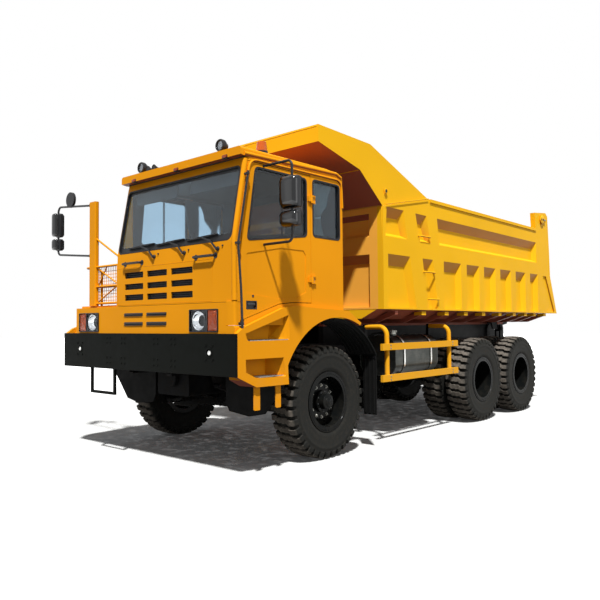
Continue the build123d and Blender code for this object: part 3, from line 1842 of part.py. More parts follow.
with BuildPart() as tailgate:
    half = bed_inner_x - gate_gap
    outer_face = [(before_tail(distance), z) for distance, z in gate_face]
    inner_face = [(y - gate_depth, z) for y, z in outer_face]
    prism(side_plane(-half), outer_face + inner_face[::-1], 2 * half)
    # upright ribs are left between pockets cut from the outer face
    for index in (-2, -1, 0, 1, 2):
        x = index * gate_rib_pitch
        block(
            (x - gate_pocket_width / 2, x + gate_pocket_width / 2),
            (before_tail(390), before_tail(290)),
            (2620, 3400),
            Mode.SUBTRACT,
        )
    # the bottom corners follow the floor's raised edges
    for side in (1, -1):
        corner = [
            (side * (floor_flat_x - 50), floor_edge_z - 19),
            (side * (bed_inner_x + 14), floor_edge_z - 19),
            (side * (bed_inner_x + 14), floor_edge_z + 30),
        ]
        prism(front_plane(before_tail(130)), corner, -200, Mode.SUBTRACT)
    for side in (1, -1):
        arm = [
            (before_tail(430), 3478),
            (before_tail(390), 3478),
            (before_tail(390), 3560),
            (ear_pin_y + 60, ear_pin_z + 70),
            (ear_pin_y - 70, ear_pin_z + 40),
            (ear_pin_y - 60, ear_pin_z - 60),
            (before_tail(475), 3478),
        ]
        prism(side_plane(side * half), arm, -side * gate_arm)
        rod(
            (side * (half - 1), ear_pin_y, ear_pin_z),
            (side * (bed_half_width - 12), ear_pin_y, ear_pin_z),
            gate_pin_radius,
        )
finish(tailgate, "tailgate")

# ---- hoist --------------------------------------------------------------------------
hoist_run = hoist_eye[0] - hoist_base[0]
hoist_rise = hoist_eye[1] - hoist_base[1]
hoist_length = sqrt(hoist_run**2 + hoist_rise**2)
barrel_length = 1750
eye_half_width = 45
eye_radius = 62


def along_hoist(x, distance):
    """A point on the cylinder's line, at a distance from its base pin."""
    share = distance / hoist_length
    return (x, hoist_base[0] + hoist_run * share, hoist_base[1] + hoist_rise * share)


with BuildPart() as hoist_barrels:
    for side in (1, -1):
        x = side * hoist_x
        rod(along_hoist(x, 70), along_hoist(x, barrel_length), barrel_radius)
        rod(along_hoist(x, 0), along_hoist(x, 90), 45)
        rod((x - eye_half_width, *hoist_base), (x + eye_half_width, *hoist_base), eye_radius)
        rod(
            along_hoist(x, 300),
            along_hoist(x, barrel_length + 1),
            rod_radius + running_clearance,
            Mode.SUBTRACT,
        )
    # cross shaft between the cylinders, and a pin end in each frame plate
    rod((-hoist_x, *hoist_base), (hoist_x, *hoist_base), 40)
    for side in (1, -1):
        rod(
            (side * (hoist_x + eye_half_width - 1), *hoist_base),
            (side * (hoist_plate_x[1] - 1), *hoist_base),
            hoist_pin_radius,
        )
finish(hoist_barrels, "hoist_barrels")

with BuildPart() as hoist_rods:
    for side in (1, -1):
        x = side * hoist_x
        rod(along_hoist(x, 420), along_hoist(x, hoist_length), rod_radius)
        rod((x - eye_half_width, *hoist_eye), (x + eye_half_width, *hoist_eye), eye_radius)
        rod(
            (x - eye_half_width - 5, *hoist_eye),
            (x + eye_half_width + 5, *hoist_eye),
            32 + running_clearance,
            Mode.SUBTRACT,
        )
finish(hoist_rods, "hoist_rods")
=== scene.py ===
import bmesh
import bpy
from math import cos, pi, radians, sin, sqrt
from mathutils import Matrix, Vector


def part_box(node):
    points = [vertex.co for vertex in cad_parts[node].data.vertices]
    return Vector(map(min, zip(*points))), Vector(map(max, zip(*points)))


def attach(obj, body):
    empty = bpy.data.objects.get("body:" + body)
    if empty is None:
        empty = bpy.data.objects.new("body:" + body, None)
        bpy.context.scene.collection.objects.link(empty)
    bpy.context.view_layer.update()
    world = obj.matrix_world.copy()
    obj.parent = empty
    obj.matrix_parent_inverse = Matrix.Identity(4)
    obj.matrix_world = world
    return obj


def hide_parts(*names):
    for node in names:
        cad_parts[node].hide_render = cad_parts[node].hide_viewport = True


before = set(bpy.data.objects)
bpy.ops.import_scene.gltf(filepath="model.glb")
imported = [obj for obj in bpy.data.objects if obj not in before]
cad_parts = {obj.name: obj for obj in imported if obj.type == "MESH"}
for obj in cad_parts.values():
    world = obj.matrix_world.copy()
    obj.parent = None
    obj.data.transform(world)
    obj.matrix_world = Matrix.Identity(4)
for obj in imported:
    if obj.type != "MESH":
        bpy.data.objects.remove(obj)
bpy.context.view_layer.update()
scene = bpy.context.scene


# ---- places read from the frame, in metres ----
def middle_of(node, axis):
    """The middle of a CAD node's box along an axis."""
    low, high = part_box(node)
    return (getattr(low, axis) + getattr(high, axis)) / 2


ROOF_EDGE = 0.016  # how far the roof stands past the cab's sides
HALF_TYRE = 0.1875
AXLE_Y, AXLE_Z = middle_of("front_axle", "y"), middle_of("front_left_tyre", "z")
WHEEL_X = middle_of("front_left_tyre", "x")
MIDDLE_Y, REAR_Y = middle_of("middle_left_tyres", "y"), middle_of("rear_left_tyres", "y")
OUTER_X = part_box("middle_left_tyres")[1].x - HALF_TYRE
INNER_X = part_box("middle_left_tyres")[0].x + HALF_TYRE
CAB_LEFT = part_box("cab_roof")[1].x - ROOF_EDGE
CAB_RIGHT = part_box("cab_roof")[0].x + ROOF_EDGE
CAB_REAR, CAB_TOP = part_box("cab_shell")[1].y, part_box("cab_shell")[1].z
FLOOR_Z, SEAT_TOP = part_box("seats")[0].z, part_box("seats")[1].z
ROOF_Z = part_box("roof_lamps")[0].z
BED_FRONT, BED_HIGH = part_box("bed_sides")[0].y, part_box("bed_sides")[1].copy()
BUMPER_LOW, BUMPER_HIGH = (corner.copy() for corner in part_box("front_bumper"))
SIDES = ((1, "left"), (-1, "right"))
LEFTWARDS, AHEAD, REARWARDS, UPWARDS = (1, 0, 0), (0, -1, 0), (0, 1, 0), (0, 0, 1)


def back(distance):
    """A place along the truck, from its distance in metres behind the front axle."""
    return AXLE_Y + distance


# ---- materials ----
SPECULAR = "Specular IOR Level"


class Shader:
    """A new material's node tree with its principled shader."""

    def __init__(self, name, color, roughness, metallic=0.0):
        self.material = bpy.data.materials.new(name)
        self.material.use_nodes = True
        self.tree = self.material.node_tree
        self.bsdf = self.tree.nodes["Principled BSDF"]
        self.set({"Base Color": (*color, 1), "Roughness": roughness, "Metallic": metallic})
        self.place = self.node("ShaderNodeTexCoord").outputs["Object"]

    def node(self, kind, numbers=None, vector=None, **values):
        """A new node with its settings, its inputs' numbers and what feeds its vector."""
        made = self.tree.nodes.new(kind)
        for key, value in values.items():
            setattr(made, key, value)
        for key, number in (numbers or {}).items():
            made.inputs[key].default_value = number
        if vector:
            self.link(vector, made.inputs["Vector"])
        return made

    def link(self, source, target):
        self.tree.links.new(source, target)

    def set(self, levels):
        for name, value in levels.items():
            self.bsdf.inputs[name].default_value = value

    def paint(self, name, output):
        self.link(output, self.bsdf.inputs[name])

    def noise(self, scale, detail=3.0, roughness=0.55, place=None):
        numbers = {"Scale": scale, "Detail": detail, "Roughness": roughness}
        return self.node("ShaderNodeTexNoise", numbers, place or self.place).outputs["Fac"]

    def remap(self, value, low, high, start=0, end=1):
        numbers = {"From Min": low, "From Max": high, "To Min": start, "To Max": end}
        made = self.node("ShaderNodeMapRange", numbers)
        self.link(value, made.inputs["Value"])
        return made.outputs["Result"]

    def math(self, kind, first, second, third=None):
        made = self.node("ShaderNodeMath", operation=kind)
        for slot, value in zip(made.inputs, (first, second, third)):
            if isinstance(value, (int, float)):
                slot.default_value = value
            elif value is not None:
                self.link(value, slot)
        return made.outputs["Value"]

    def product(self, first, *others):
        for other in others:
            first = self.math("MULTIPLY", first, other)
        return first

    def mix(self, factor, first, second):
        """A mix of two colours, each given as numbers or as an output."""
        made = self.node("ShaderNodeMix", data_type="RGBA")
        self.link(factor, made.inputs["Factor"])
        for slot, value in ((made.inputs["A"], first), (made.inputs["B"], second)):
            if isinstance(value, tuple):
                slot.default_value = (*value, 1)
            else:
                self.link(value, slot)
        return made.outputs["Result"]

    def tones(self, value, color, low, high):
        """The colour between a darker and a lighter shade of itself."""
        darker, lighter = (tuple(c * share for c in color) for share in (low, high))
        return self.mix(self.remap(value, 0.3, 0.7), darker, lighter)

    def axis(self, name):
        return self.node("ShaderNodeSeparateXYZ", vector=self.place).outputs[name]

    def bump(self, height, strength, distance):
        made = self.node("ShaderNodeBump", {"Strength": strength, "Distance": distance})
        self.link(height, made.inputs["Height"])
        self.paint("Normal", made.outputs["Normal"])


DUST = (0.33, 0.26, 0.17)


def enamel(name, color, roughness=0.34, coat=0.0, dust=0.25, dust_top=1.3, gloss=0.04, under=None):
    """Sprayed enamel: soft tone changes, orange peel, road dust and redder painted shade on
    downward faces.
    """
    made = Shader(name, color, roughness)
    made.set({"Coat Weight": coat, "Coat Roughness": 0.12, SPECULAR: gloss})
    tone = made.tones(made.noise(0.7, 2.0), color, 0.93, 1.04)
    blotch = made.noise(9, 6.0, 0.65)
    height = made.remap(made.axis("Z"), 0.25, dust_top, 1, 0)
    grime = made.product(made.remap(blotch, 0.42, 0.7), height, dust)
    coloured = made.mix(grime, tone, DUST)
    # faces that look down take the under colour, a redder painted shade
    if under:
        facing_down = made.node("ShaderNodeSeparateXYZ", vector=made.place.node.outputs["Normal"])
        shaded = made.remap(facing_down.outputs["Z"], -0.15, -0.75)
        coloured = made.mix(shaded, coloured, under)
    made.paint("Base Color", coloured)
    made.paint("Roughness", made.remap(blotch, 0.3, 0.75, roughness - 0.06, roughness + 0.12))
    made.bump(made.noise(160, 2.0), 0.05, 0.001)
    return made


def lined(made, mask, color):
    """Where the mask is 1, the material takes another colour."""
    current = made.bsdf.inputs["Base Color"].links[0].from_socket
    made.paint("Base Color", made.mix(mask, current, color))
    return made


CAB = (0.80, 0.305, 0.006)
BED = (0.86, 0.455, 0.010)
# redder colours painted on faces that look down, as shade
CAB_PAINTED_SHADE = (0.28, 0.070, 0.040)
BED_PAINTED_SHADE = (0.36, 0.110, 0.070)
UNDERFRAME = (0.006, 0.006, 0.006)
LINING = (0.019, 0.026, 0.033)
ROOF_LINING = (0.036, 0.050, 0.062)
cab_paint = enamel("cab_enamel", CAB, under=CAB_PAINTED_SHADE)
bed_paint = enamel("bed_enamel", BED, 0.38, under=BED_PAINTED_SHADE)
guard_paint = enamel("guard_enamel", (0.76, 0.35, 0.012))
black_gloss = enamel("rim_enamel", (0.005, 0.0056, 0.0055), 0.24, 0.06, 0.03)
frame_black = enamel("frame_enamel", (0.0045, 0.0045, 0.005), 0.5, 0.0, 0.06, 1.6, 0.05)
charcoal = enamel("bumper_enamel", (0.0050, 0.0058, 0.0050), 0.55, 0.0, 0.02, 1.5, 0.03)
# the bed's front wall: a redder copy of the bed enamel, painted in the hue of the shade it stands
# in
bed_wall_shade_paint = enamel("bed_wall_shade_enamel", (0.90, 0.42, 0.055), 0.4, under=BED_PAINTED_SHADE)


def floor_paint():
    """Bed enamel, with redder painted shade under the dished floor, and frame black on what hangs
    below it.
    """
    flat_half, side_rise, underside, runner_height = 1.20, 0.5035, 1.697, 0.245
    made = enamel("bed_floor_enamel", BED, 0.38, under=BED_PAINTED_SHADE)
    across, height = made.math("ABSOLUTE", made.axis("X"), 0), made.axis("Z")
    past_flat = made.math("MAXIMUM", made.math("SUBTRACT", across, flat_half), 0.0)
    rise = made.product(past_flat, side_rise)
    below = made.math("LESS_THAN", made.math("SUBTRACT", height, rise), underside)
    narrow = made.math("LESS_THAN", across, 1.49)
    inside = made.math("MAXIMUM", narrow, made.math("LESS_THAN", made.axis("Y"), back(1.9)))
    # everything below the dished floor's underside takes the redder painted shade
    lined(made, made.product(below, inside), BED_PAINTED_SHADE)
    low = made.math("LESS_THAN", height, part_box("bed_floor")[0].z + runner_height)
    return lined(made, made.product(low, made.math("LESS_THAN", across, 0.72)), UNDERFRAME)


def shell_paint():
    """Cab enamel outside, dark lining on the walls' inner faces."""
    made = enamel("cab_shell_enamel", CAB, under=CAB_PAINTED_SHADE)
    x, y, z = (made.axis(name) for name in "XYZ")
    wall, floor_height = 0.054, 1.74
    low_z, high_z = 2.51, 3.34
    front_low, front_high = back(-1.606), back(-1.450)
    slope = (front_high - front_low) / (high_z - low_z)
    inner_front = front_low - slope * low_z + 0.035
    front = made.math("MULTIPLY_ADD", made.math("MAXIMUM", z, low_z), slope, inner_front)
    return lined(made, made.product(
        made.math("GREATER_THAN", x, CAB_RIGHT + wall),
        made.math("LESS_THAN", x, CAB_LEFT - wall),
        made.math("GREATER_THAN", y, front),
        made.math("LESS_THAN", y, CAB_REAR - wall),
        made.math("GREATER_THAN", z, floor_height),
    ), LINING)


def sided_paint(name, axis, kind, limit, lining=LINING):
    """Cab enamel with a lining where the coordinate lies beyond a limit."""
    made = enamel(name, CAB, under=CAB_PAINTED_SHADE)
    return lined(made, made.math(kind, made.axis(axis), limit), lining)


bed_floor_paint, cab_shell_paint = floor_paint(), shell_paint()
left_door_paint = sided_paint("left_door_enamel", "X", "LESS_THAN", CAB_LEFT - 0.052)
right_door_paint = sided_paint("right_door_enamel", "X", "GREATER_THAN", CAB_RIGHT + 0.052)
roof_paint = sided_paint("roof_enamel", "Z", "LESS_THAN", CAB_TOP + 0.002, ROOF_LINING)


def tyre_rubber():
    """Dusty rubber whose lug tops are paler near the tread's radius, partly as dust and partly as a
    painted highlight.
    """
    lug_foot, lug_head = 0.655, 0.680
    made = Shader("tyre_rubber", (0.020, 0.020, 0.018), 0.72)
    made.set({SPECULAR: 0.12})
    grain = made.noise(26, 5.0, 0.7)
    dusty = made.remap(grain, 0.45, 0.75, 0, 0.45)
    wall = made.mix(dusty, (0.012, 0.0122, 0.0108), (0.050, 0.043, 0.034))
    flat = made.node("ShaderNodeVectorMath", operation="MULTIPLY")
    made.link(made.place, flat.inputs[0])
    flat.inputs[1].default_value = (0, 1, 1)
    radius = made.node("ShaderNodeVectorMath", operation="LENGTH")
    made.link(flat.outputs["Vector"], radius.inputs[0])
    on_lug = made.remap(radius.outputs["Value"], lug_foot, lug_head)
    # lug tops paler: partly dust, partly a painted highlight
    patch_tone = made.product(on_lug, made.remap(grain, 0.3, 0.65, 0.25, 1))
    made.paint("Base Color", made.mix(patch_tone, wall, (0.185, 0.160, 0.132)))
    made.paint("Roughness", made.remap(grain, 0.3, 0.7, 0.62, 0.86))
    made.bump(made.noise(120, 3.0), 0.25, 0.002)
    return made


def moulded(name, color, roughness=0.5, grain=300, strength=0.25, gloss=0.25):
    """Plastic or rubber with a fine moulded grain."""
    made = Shader(name, color, roughness)
    made.set({SPECULAR: gloss})
    cells = made.node("ShaderNodeTexVoronoi", {"Scale": grain}, made.place)
    cloud = made.noise(12, 4.0)
    made.paint("Base Color", made.tones(cloud, color, 0.85, 1.15))
    made.paint("Roughness", made.remap(cloud, 0.3, 0.7, roughness - 0.06, roughness + 0.08))
    made.bump(cells.outputs["Distance"], strength, 0.0006)
    return made


def metal(name, color, roughness=0.3, stretch=(1, 1, 1), scratch=60, amount=0.25):
    """Bare or plated metal with directional brushing and patchy dulling."""
    made = Shader(name, color, roughness, 1.0)
    stretched = made.node("ShaderNodeMapping", {"Scale": stretch}, made.place).outputs["Vector"]
    brushed = made.noise(scratch, 4.0, 0.6, stretched)
    dull = made.remap(made.noise(7, 5.0, 0.6), 0.45, 0.75, 0, amount)
    made.paint("Base Color", made.mix(dull, color, (0.2, 0.19, 0.17)))
    made.paint("Roughness", made.remap(brushed, 0.3, 0.7, roughness - 0.08, roughness + 0.12))
    made.bump(brushed, 0.12, 0.0006)
    return made


def clear(name, color, roughness=0.03, index=1.40):
    """Clear glass under a thin uneven film of dirt."""
    made = Shader(name, color, roughness)
    made.set({"Transmission Weight": 1.0, "IOR": index})
    film = made.noise(5, 4.0)
    made.paint("Roughness", made.remap(film, 0.35, 0.75, roughness, roughness + 0.04))
    made.paint("Base Color", made.tones(film, color, 0.97, 1.0))
    return made


def lens(name, color, ribs=90):
    """Coloured lamp lens with fine moulded ribs."""
    made = Shader(name, color, 0.12)
    made.set({"Coat Weight": 0.12, "Coat Roughness": 0.08, SPECULAR: 0.2})
    made.set({"Subsurface Weight": 0.15, "Subsurface Radius": (0.02, 0.008, 0.003)})
    wave = made.node("ShaderNodeTexWave", {"Scale": ribs}, made.place, bands_direction="X")
    ridge = wave.outputs["Fac"]
    made.paint("Base Color", made.mix(ridge, tuple(c * 0.75 for c in color), color))
    made.bump(ridge, 0.35, 0.001)
    return made


def cloth(name, color, thread=700, sheen=0.3):
    """Woven fabric: crossed threads, small tone changes and a soft sheen."""
    made = Shader(name, color, 0.9)
    made.set({"Sheen Weight": sheen, "Sheen Roughness": 0.45})
    numbers = {"Scale": thread, "Distortion": 0.6}
    warp, weft = (
        made.node("ShaderNodeTexWave", numbers, made.place, bands_direction=way).outputs["Fac"]
        for way in "XZ"
    )
    weave = made.product(warp, weft)
    tone = made.tones(made.noise(14, 4.0), color, 0.82, 1.15)
    # the weave's hollows are painted darker, as shade
    hollow_shade = made.remap(weave, 0, 1, 0.25, 0)
    made.paint("Base Color", made.mix(hollow_shade, tone, tuple(c * 0.6 for c in color)))
    made.bump(weave, 0.3, 0.0008)
    return made


def tread_plate(name, color, metallic=0.9, roughness=0.42):
    """Non-slip plate: rows of raised bars set at 45 degrees."""
    made = Shader(name, color, roughness, metallic)
    numbers = {"Rotation": (0, 0, radians(45)), "Scale": (32, 32, 32)}
    turned = made.node("ShaderNodeMapping", numbers, made.place).outputs["Vector"]
    numbers = {
        "Scale": 1.0, "Mortar Size": 0.16, "Mortar Smooth": 0.3, "Brick Width": 1.0,
        "Row Height": 0.5,
    }
    bars = made.node("ShaderNodeTexBrick", numbers, turned).outputs["Fac"]
    cloud = made.noise(16, 5.0, 0.65)
    bright, dark = (tuple(c * share for c in color) for share in (1.25, 0.55))
    patch_tone = made.mix(made.remap(cloud, 0.4, 0.7), color, dark)
    made.paint("Base Color", made.mix(bars, bright, patch_tone))
    made.paint("Roughness", made.remap(cloud, 0.3, 0.7, roughness - 0.08, roughness + 0.15))
    made.bump(bars, -0.6, 0.003)
    return made


rubber = tyre_rubber()
black_plastic = moulded("black_plastic", (0.012, 0.0125, 0.014), 0.42)
seal_rubber = moulded("seal_rubber", (0.007, 0.007, 0.0075), 0.55, 500, 0.15)
flap_rubber = moulded("flap_rubber", (0.0062, 0.0062, 0.006), 0.75, 90, 0.3, 0.08)
dash_plastic = moulded("dash_plastic", (0.035, 0.036, 0.038), 0.6, 260, 0.35)
tank_metal = metal("tank_metal", (0.045, 0.049, 0.045), 0.36, (1, 0.06, 1), 90)
bright_steel = metal("bright_steel", (0.62, 0.62, 0.60), 0.28)
bolt_zinc = metal("bolt_zinc", (0.22, 0.22, 0.20), 0.38, scratch=200, amount=0.5)
chrome = metal("chrome", (0.80, 0.81, 0.83), 0.08, amount=0.06)
cast_metal = metal("cast_metal", (0.045, 0.047, 0.05), 0.55, scratch=140, amount=0.5)
engine_black = enamel("engine_enamel", (0.006, 0.0062, 0.0065), 0.6, 0.0, 0.05, 1.5, 0.03)
rod_chrome = metal("rod_chrome", (0.70, 0.71, 0.73), 0.14, (1, 0.2, 1), 120, amount=0.1)
mirror_face = metal("mirror_face", (0.55, 0.60, 0.66), 0.04, amount=0.04)
cab_glazing = clear("cab_glazing", (0.57, 0.72, 0.83))
door_glazing = clear("door_glazing", (0.42, 0.50, 0.54))
lamp_glazing = clear("lamp_glazing", (0.92, 0.94, 0.95), 0.02, 1.05)
mirror_gloss = enamel("mirror_shell", (0.0035, 0.004, 0.005), 0.12, 0.4, 0.0, 1.3, 0.3)
reflector = metal("work_lamp_reflector", (0.30, 0.31, 0.33), 0.16, amount=0.2)
amber = lens("amber_lens", (0.31, 0.045, 0.006))
orange_lens = lens("orange_lens", (0.60, 0.11, 0.010), 70)
red_lens = lens("red_lens", (0.42, 0.008, 0.006))
curtain_cloth = cloth("curtain_cloth", (0.075, 0.105, 0.13), 300, 0.15)
# the curtain cloth painted lighter for the left quarter window: painted light
sunlit_curtain_cloth = cloth("sunlit_curtain_cloth", (0.17, 0.20, 0.19), 300, 0.15)
seat_cloth = cloth("seat_cloth", (0.045, 0.048, 0.056), 260)
step_plate = tread_plate("step_plate", (0.24, 0.235, 0.22))
deck_plate = tread_plate("deck_plate", (0.30, 0.28, 0.24), 0.6, 0.5)

# the material that each CAD node shows in
NODE_FINISH = {
    frame_black: "chassis_rails chassis_crossmembers chassis_brackets chassis_tail front_axle"
                 " front_springs left_knuckle right_knuckle tandem_axles rear_suspension"
                 " drive_shafts oil_tank hoist_barrels",
    cab_paint: "front_panel grille_hatch left_step_box right_step_box platform_deck"
               " platform_railing",
    black_plastic: "headlamps right_mirror left_mirror roof_lamps steering_wheel",
    bed_paint: "bed_sides bed_canopy tailgate",
    cab_glazing: "cab_glass right_door_glass",
    door_glazing: "left_door_glass",
    charcoal: "front_bumper",
    cab_shell_paint: "cab_shell",
    roof_paint: "cab_roof",
    left_door_paint: "left_door",
    right_door_paint: "right_door",
    flap_rubber: "mudguards",
    dash_plastic: "dashboard",
    seat_cloth: "seats",
    engine_black: "engine",
    tank_metal: "fuel_tank",
    guard_paint: "side_guards",
    bed_wall_shade_paint: "bed_front_wall",
    bed_floor_paint: "bed_floor",
    rod_chrome: "hoist_rods",
    rubber: " ".join(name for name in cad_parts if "tyre" in name),
    black_gloss: " ".join(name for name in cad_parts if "rim" in name),
}
for made, names in NODE_FINISH.items():
    for node in (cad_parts[name] for name in names.split()):
        if not node.material_slots:
            node.data.materials.append(None)
        for slot in node.material_slots:
            slot.material = made.material


# ---- mesh helpers ----
def add_object(name, data):
    obj = bpy.data.objects.new(name, data)
    scene.collection.objects.link(obj)
    return obj


def new_mesh(name, verts, faces, made, weld=True):
    """A mesh in one material, its faces turned outwards and, with weld, its points merged."""
    mesh = bpy.data.meshes.new(name)
    mesh.from_pydata([tuple(v) for v in verts], [], faces)
    shell = bmesh.new()
    shell.from_mesh(mesh)
    if weld:
        bmesh.ops.remove_doubles(shell, verts=shell.verts, dist=1e-6)
    bmesh.ops.recalc_face_normals(shell, faces=shell.faces)
    shell.to_mesh(mesh)
    shell.free()
    mesh.materials.append(made.material)
    return mesh


def piece(name, verts, faces, made, body="truck", slot=None, smooth=True, bevel=0.0, stands_for=()):
    """A mesh piece that rides on a body, with its material; the slot argument is not used."""
    mesh = new_mesh(name, verts, faces, made)
    obj = add_object(name, mesh)
    for face in mesh.polygons:
        face.use_smooth = smooth
    if smooth and not bevel:
        mesh.set_sharp_from_angle(angle=radians(38))
    if bevel:
        rounded = obj.modifiers.new("rounded", "BEVEL")
        rounded.width = bevel
        rounded.segments = 2
        rounded.limit_method = "ANGLE"
        rounded.angle_limit = radians(35)
        rounded.harden_normals = smooth
    if stands_for:
        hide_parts(*stands_for)
    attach(obj, body)
    return obj


def quads(rows, count, closed=True, wrapped=False, first=0):
    """Faces between rows of count points each: round every row where closed, and back
    from the last row to the first where wrapped."""
    faces = []
    for row in range(rows if wrapped else rows - 1):
        near, far = first + row * count, first + (row + 1) % rows * count
        for i in range(count if closed else count - 1):
            j = (i + 1) % count
            faces.append((near + i, near + j, far + j, far + i))
    return faces


def turns(count, start=0.0):
    """Angles evenly spread round a circle."""
    return [start + 2 * pi * i / count for i in range(count)]


def ring(centre, side, other, radius, count):
    """Points round a centre in the plane of two unit vectors."""
    return [centre + side * (radius * cos(a)) + other * (radius * sin(a)) for a in turns(count)]


def between(start, corner, end, rounds):
    """Points of the curve that rounds a corner off."""
    shares = [k / rounds for k in range(rounds + 1)]
    return [start * (1 - t) ** 2 + corner * (2 * t * (1 - t)) + end * t**2 for t in shares]


def rounded_corner(before, corner, after, bend, rounds):
    first, second = before - corner, after - corner
    cut = min(bend, first.length * 0.49, second.length * 0.49)
    start, end = corner + first.normalized() * cut, corner + second.normalized() * cut
    return between(start, corner, end, rounds)


def rounded_path(points, bend, rounds):
    """Points of a broken line with each inner corner rounded off."""
    path = [points[0]]
    for before, corner, after in zip(points, points[1:], points[2:]):
        path += rounded_corner(before, corner, after, bend, rounds)
    return path + [points[-1]]


def rounded_polygon(points, radius, steps=6):
    """A closed outline with each corner rounded."""
    flat = [Vector((*p, 0)) for p in points]
    following = flat[1:] + flat[:1]
    loop = []
    for before, corner, after in zip(flat[-1:] + flat[:-1], flat, following):
        loop += rounded_corner(before, corner, after, radius, steps)
    return [(at.x, at.y) for at in loop]


def rounded_loop(width, height, radius, steps=6):
    """Points round a rectangle with rounded corners, centred on nought."""
    points = []
    for sx, sy, start in ((1, 1, 0), (-1, 1, pi / 2), (-1, -1, pi), (1, -1, 3 * pi / 2)):
        for k in range(steps + 1):
            a = start + pi / 2 * k / steps
            x, y = sx * (width / 2 - radius), sy * (height / 2 - radius)
            points.append((x + radius * cos(a), y + radius * sin(a)))
    return points


def shifted(loop, dx, dy):
    return [(a + dx, b + dy) for a, b in loop]


def mm(pairs):
    """Points in metres from pairs of millimetres, such as "0,36 4,33"."""
    return [tuple(float(n) / 1000 for n in pair.split(",")) for pair in pairs.split()]


class Shape:
    """Vertices and faces gathered from several simple solids into one mesh. Outlines are
    placed by a function that turns (a, b, depth) into a point."""

    def __init__(self):
        self.verts = []
        self.faces = []

    def add(self, verts, faces):
        start = len(self.verts)
        self.verts += [Vector(v) for v in verts]
        self.faces += [tuple(start + i for i in face) for face in faces]
        return self

    def box(self, low, high):
        x, y, z = zip(low, high)
        corners = [(a, b, c) for a in x for b in y for c in z]
        sides = [(0, 1, 3, 2), (4, 6, 7, 5), (0, 4, 5, 1), (2, 3, 7, 6), (0, 2, 6, 4), (1, 5, 7, 3)]
        return self.add(corners, sides)

    def loops(self, loops, caps=True):
        """A skin over several loops of equally many points."""
        count, rows = len(loops[0]), len(loops)
        faces = quads(rows, count)
        if caps:
            faces.append(tuple(range(count))[::-1])
            faces.append(tuple((rows - 1) * count + i for i in range(count)))
        return self.add([v for loop in loops for v in loop], faces)

    def extrude(self, outline, axis, ends):
        """An outline in the two other coordinates, drawn out along an axis between ends."""
        at_axis = "XYZ".index(axis)
        return self.loops([[(*p[:at_axis], t, *p[at_axis:]) for p in outline] for t in ends])

    def lathe(self, profile, centre, axis, segments=32, caps=True):
        """A profile of (distance along the axis, radius) turned about it."""
        axis, centre = Vector(axis).normalized(), Vector(centre)
        side = axis.orthogonal().normalized()
        other = axis.cross(side)
        loops = [ring(centre + axis * along, side, other, r, segments) for along, r in profile]
        return self.loops(loops, caps=caps)

    def tube(self, points, radius, segments=10, rounds=6, bend=None):
        """A tube along straight runs with rounded bends."""
        path = rounded_path([Vector(p) for p in points], bend if bend else radius * 3, rounds)
        loops = []
        side = None
        for i, point in enumerate(path):
            ahead = path[min(i + 1, len(path) - 1)] - path[max(i - 1, 0)]
            ahead.normalize()
            side = ahead.orthogonal() if side is None else side - ahead * side.dot(ahead)
            side.normalize()
            loops.append(ring(point, side, ahead.cross(side), radius, segments))
        return self.loops(loops)

    def bolt(self, centre, axis, size=0.012):
        """A hexagonal head on its washer, with the thread's end standing out."""
        self.lathe([(0, size * 1.35), (size * 0.25, size * 1.35)], centre, axis, 14)
        self.lathe([(0, size), (size * 0.75, size), (size * 0.95, size * 0.82)], centre, axis, 6)
        return self.lathe([(0, size * 0.5), (size * 1.35, size * 0.5)], centre, axis, 8)

    def strip(self, outer, inner, place, depth):
        """A flat frame between two outlines."""
        edges = (outer, 0), (outer, depth), (inner, depth), (inner, 0)
        points = [place(a, b, d) for loop, d in edges for a, b in loop]
        return self.add(points, quads(4, len(outer), wrapped=True))

    def plate(self, loop, place, depth):
        """A flat plate with an outline and a depth."""
        return self.loops([[place(a, b, d) for a, b in loop] for d in (0, depth)])

    def domed(self, loop, place, depth, rise, shrink=0.82):
        """A flat plate whose front is drawn in over a rounded rise."""
        rows = ((1, 0), (1, depth), (0.985, depth + rise * 0.55), (0.94, depth + rise * 0.85),
                (shrink, depth + rise * 1.0))
        return self.loops([[place(a * grow, b * grow, d) for a, b in loop] for grow, d in rows])

    def piece(self, name, made, **options):
        return piece(name, self.verts, self.faces, made, **options)


# ---- tyres ----
# rows across half the tyre: distance from its middle, radius, groove depth inwards and
# downwards, and the tread's shift along the circumference in shares of a lug's pitch
TREAD_ROWS = [
    (0.014, 0.685, 0.000, 0.028, 0.04),
    (0.040, 0.6847, 0.000, 0.034, 0.00), (0.066, 0.684, 0.000, 0.036, 0.00),
    (0.084, 0.683, 0.000, 0.038, 0.20), (0.112, 0.681, 0.000, 0.040, 0.22),
    (0.142, 0.677, 0.002, 0.041, 0.22), (0.163, 0.671, 0.005, 0.040, 0.22),
    (0.175, 0.660, 0.010, 0.034, 0.22), (0.182, 0.640, 0.015, 0.016, 0.22),
    (0.1855, 0.614, 0.0140, 0.006, 0.22), (0.1865, 0.604, 0.0095, 0.000, 0.22),
]
# and the sidewall, which has no grooves: distance from the middle, radius
WALL_ROWS = mm(
    "178.5,600 179.5,574 184,566 185,548 181.5,542 184,500 180,455 176,430 177,422 170,400 "
    "160,380 150,366"
)
LUGS = 36
# steps round one lug: share of the pitch and whether it lies on the lug or in the groove
LUG_STEPS = [(0.00, 1), (0.27, 1), (0.54, 1), (0.60, 0), (0.77, 0), (0.94, 0)]


